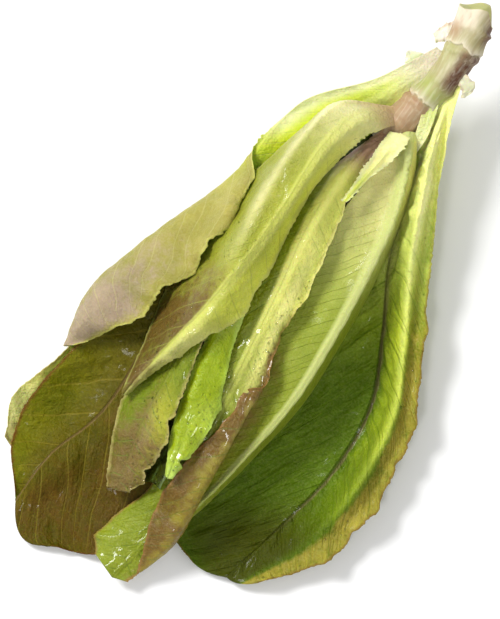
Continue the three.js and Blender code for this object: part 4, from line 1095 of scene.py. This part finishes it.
# Torn remains of lost leaves on the stem: a papery flap on the left and a curled scrap on the right
scrapLook = {
    **usual,
    "outerUp": True, "sag": (0.4, 0.4), "waves": (0.5, 3, 0), "detail": (60, 22), "teeth": (1.1, 2.2),
    "ribScale": 0.12, "veins": (6, 0.3, 0.08), "band": (0.5, 0.3, 0.1), "wet": 0.2, "net": 0.0,
    "mottle": 0.2, "rough": 0.2, "inner": (206, 202, 180), "outer": (216, 210, 196),
    "lime": (196, 202, 130), "pale": (224, 216, 206), "blush": (176, 140, 120), "rib": (220, 214, 196),
    "vein": (210, 200, 186), "edge": (206, 182, 160),
    "paint": {"lime": lambda s, t: 0.5 * smooth(0.6, 1, s), "pale": lambda s, t: 0.5 + 0 * s,
              "blush": lambda s, t: 0.5 * bump(-0.9, 0.2, t) * smooth(0.95, 0.6, s)},
}
paperFlap = {
    **scrapLook,
    "mid": [(13, 160, 46), (8.5, 157.5, 46), (5.5, 154.5, 45), (3.6, 151.5, 43.5)],
    "left": [(11, 165, 46.5), (6.5, 161, 46), (3.6, 157, 44.5), (2.4, 152.5, 43)],
    "right": [(14.5, 154, 45), (10, 153.5, 45.5), (7.5, 151.5, 44.5), (5, 150, 43)],
}
curledScrap = {
    **scrapLook,
    "outer": (180, 184, 126), "inner": (180, 184, 126),
    "mid": [(20, 144, 43.5), (26, 142, 45), (30.4, 140, 44.5), (31, 135.5, 42.5)],
    "left": [(19, 141, 43), (24.5, 139, 44), (28, 137.5, 43.5), (29.6, 134.5, 42.5)],
    "right": [(21, 147, 44), (27, 144.5, 46), (32, 143.5, 45.5), (32.6, 139, 43.5)],
}

# Where water stands: the leaf, then how much over s and t
wetPlaces = {
    "bright_leaf": lambda s, t: smooth(0.6, 0.75, s) * smooth(-0.4, 0.2, t),
    "bronze_leaf": lambda s, t: 0.7 * smooth(0.6, 0.75, s) * smooth(-0.5, 0, t),
    "center_leaf": lambda s, t: smooth(0.35, 0.5, s) * smooth(0.3, 0.5, t) * smooth(0.95, 0.8, s),
    "wrap_leaf": lambda s, t: 0.7 * bump(0.66, 0.12, s) * smooth(-0.5, -0.7, t),
    "top_leaf": lambda s, t: 0.35 * smooth(0.3, 0.6, s) * smooth(0.1, -0.3, t),
    "right_leaf": lambda s, t: 0.3 * smooth(0.3, 0.5, s) * smooth(0.5, 0.7, t),
    "deep_leaf": lambda s, t: smooth(0.7, 0.9, s),
}


# Build the head
layThePile()
print("pile laid")


def claim(piece, node, material):
    piece.data.materials.clear()
    piece.data.materials.append(material)
    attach(piece, "root")
    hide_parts(node)


def growLeaf(node, name, leaf, seed):
    skin = leafMaterial(name + "Skin", leaf)
    piece = leafMesh(name + "Blade", leaf, seed)
    runTree(piece, blisterTree, {"Skin": skin})
    claim(piece, node, skin)
    return piece


def sprinkle(piece, node, name, rule):
    # drops on a copy of the blade, which becomes the drops alone
    drops = place(name, piece.data.copy())
    values = {}
    for key in ("along", "acrossPlace"):
        values[key] = np.empty(len(drops.data.vertices), np.float32)
        drops.data.attributes[key].data.foreach_get("value", values[key])
    spots = np.clip(rule(values["along"], values["acrossPlace"]), 0, 1).astype(np.float32)
    drops.data.attributes.new("dewSpot", "FLOAT", "POINT").data.foreach_set("value", spots)
    runTree(drops, dewTree, {"Water": water})
    claim(drops, node, water)


water = waterMaterial()
for number, (node, leaf) in enumerate(pile):
    if leaf is None:
        claim(stemMesh(), "stem", stemMaterial())
        growLeaf("stem", "paperFlap", paperFlap, 21)
        growLeaf("stem", "curledScrap", curledScrap, 22)
        continue
    first, *rest = node.split("_")
    label = first + "".join(word.title() for word in rest)
    piece = growLeaf(node, label, leaf, number)
    if node in wetPlaces:
        sprinkle(piece, node, label + "Dew", wetPlaces[node])
growLeaf("center_leaf", "paleLobe", paleLobe, 23)
growLeaf("wrap_leaf", "tornEar", tornEar, 24)
print("leaves and stem built")


# Floor, light and camera
room = {"azimuth": 33.5, "elevation": 85.0, "lens": 400.0, "sensor": 36.0, "frameHeight": 0.2909,
        "aimHeight": 0.025, "floorHalf": 3, "sky": 0.56}

floorMesh = bpy.data.meshes.new("floor")
half = room["floorHalf"]
corners = [(-half, -half, 0), (half, -half, 0), (half, half, 0), (-half, half, 0)]
floorMesh.from_pydata(corners, [], [(0, 1, 2, 3)])
floor = place("floor", floorMesh)
floorFinish = {"Base Color": (0.92, 0.92, 0.92, 1), "Roughness": 0.9}
floorMesh.materials.append(newMaterial("paleFloor", floorFinish)[0])

turn, rise = math.radians(room["azimuth"]), math.radians(room["elevation"])
imageRight = Vector((math.cos(turn), math.sin(turn), 0))
imageUp = Vector((-math.sin(turn), math.cos(turn), 0))


def softLight(name, offset, size, watts):
    data = bpy.data.lights.new(name, "AREA")
    data.size, data.energy = size, watts
    lamp = place(name, data)
    lamp.location = offset
    lamp.rotation_euler = (-offset).to_track_quat("-Z", "Y").to_euler()


# each lamp: how far to the picture's right and up, height, size and watts. The glint lamp is what wet
# places mirror.
lamps = {"windowLight": (-0.95, 0.72, 1.42, 0.55, 32), "glintLight": (-0.25, -0.62, 1.4, 0.22, 4.0),
         "fillLight": (0.9, -0.3, 1.4, 1.6, 2.0)}
for name, (toRight, toUp, height, size, watts) in lamps.items():
    softLight(name, imageRight * toRight + imageUp * toUp + Vector((0, 0, height)), size, watts)

sky = bpy.data.worlds.new("paleRoom")
sky.use_nodes = True
sky.node_tree.nodes["Background"].inputs["Color"].default_value = (1, 1, 1, 1)
sky.node_tree.nodes["Background"].inputs["Strength"].default_value = room["sky"]
bpy.context.scene.world = sky
bpy.context.scene.view_settings.view_transform = "Standard"

eye = bpy.data.cameras.new("eye")
eye.lens, eye.sensor_width = room["lens"], room["sensor"]
distance = room["frameHeight"] * room["lens"] / room["sensor"]
toEye = Vector((math.sin(turn) * math.cos(rise), -math.cos(turn) * math.cos(rise), math.sin(rise)))
middle = Vector((planShift[0] / perMetre, planShift[1] / perMetre, 0))
aim = middle + toEye * (room["aimHeight"] / math.sin(rise))
camera = place("eye", eye)
camera.location = aim + toEye * distance
camera.rotation_euler = (-toEye).to_track_quat("-Z", "Y").to_euler()
bpy.context.scene.camera = camera
print("room, light and camera set")
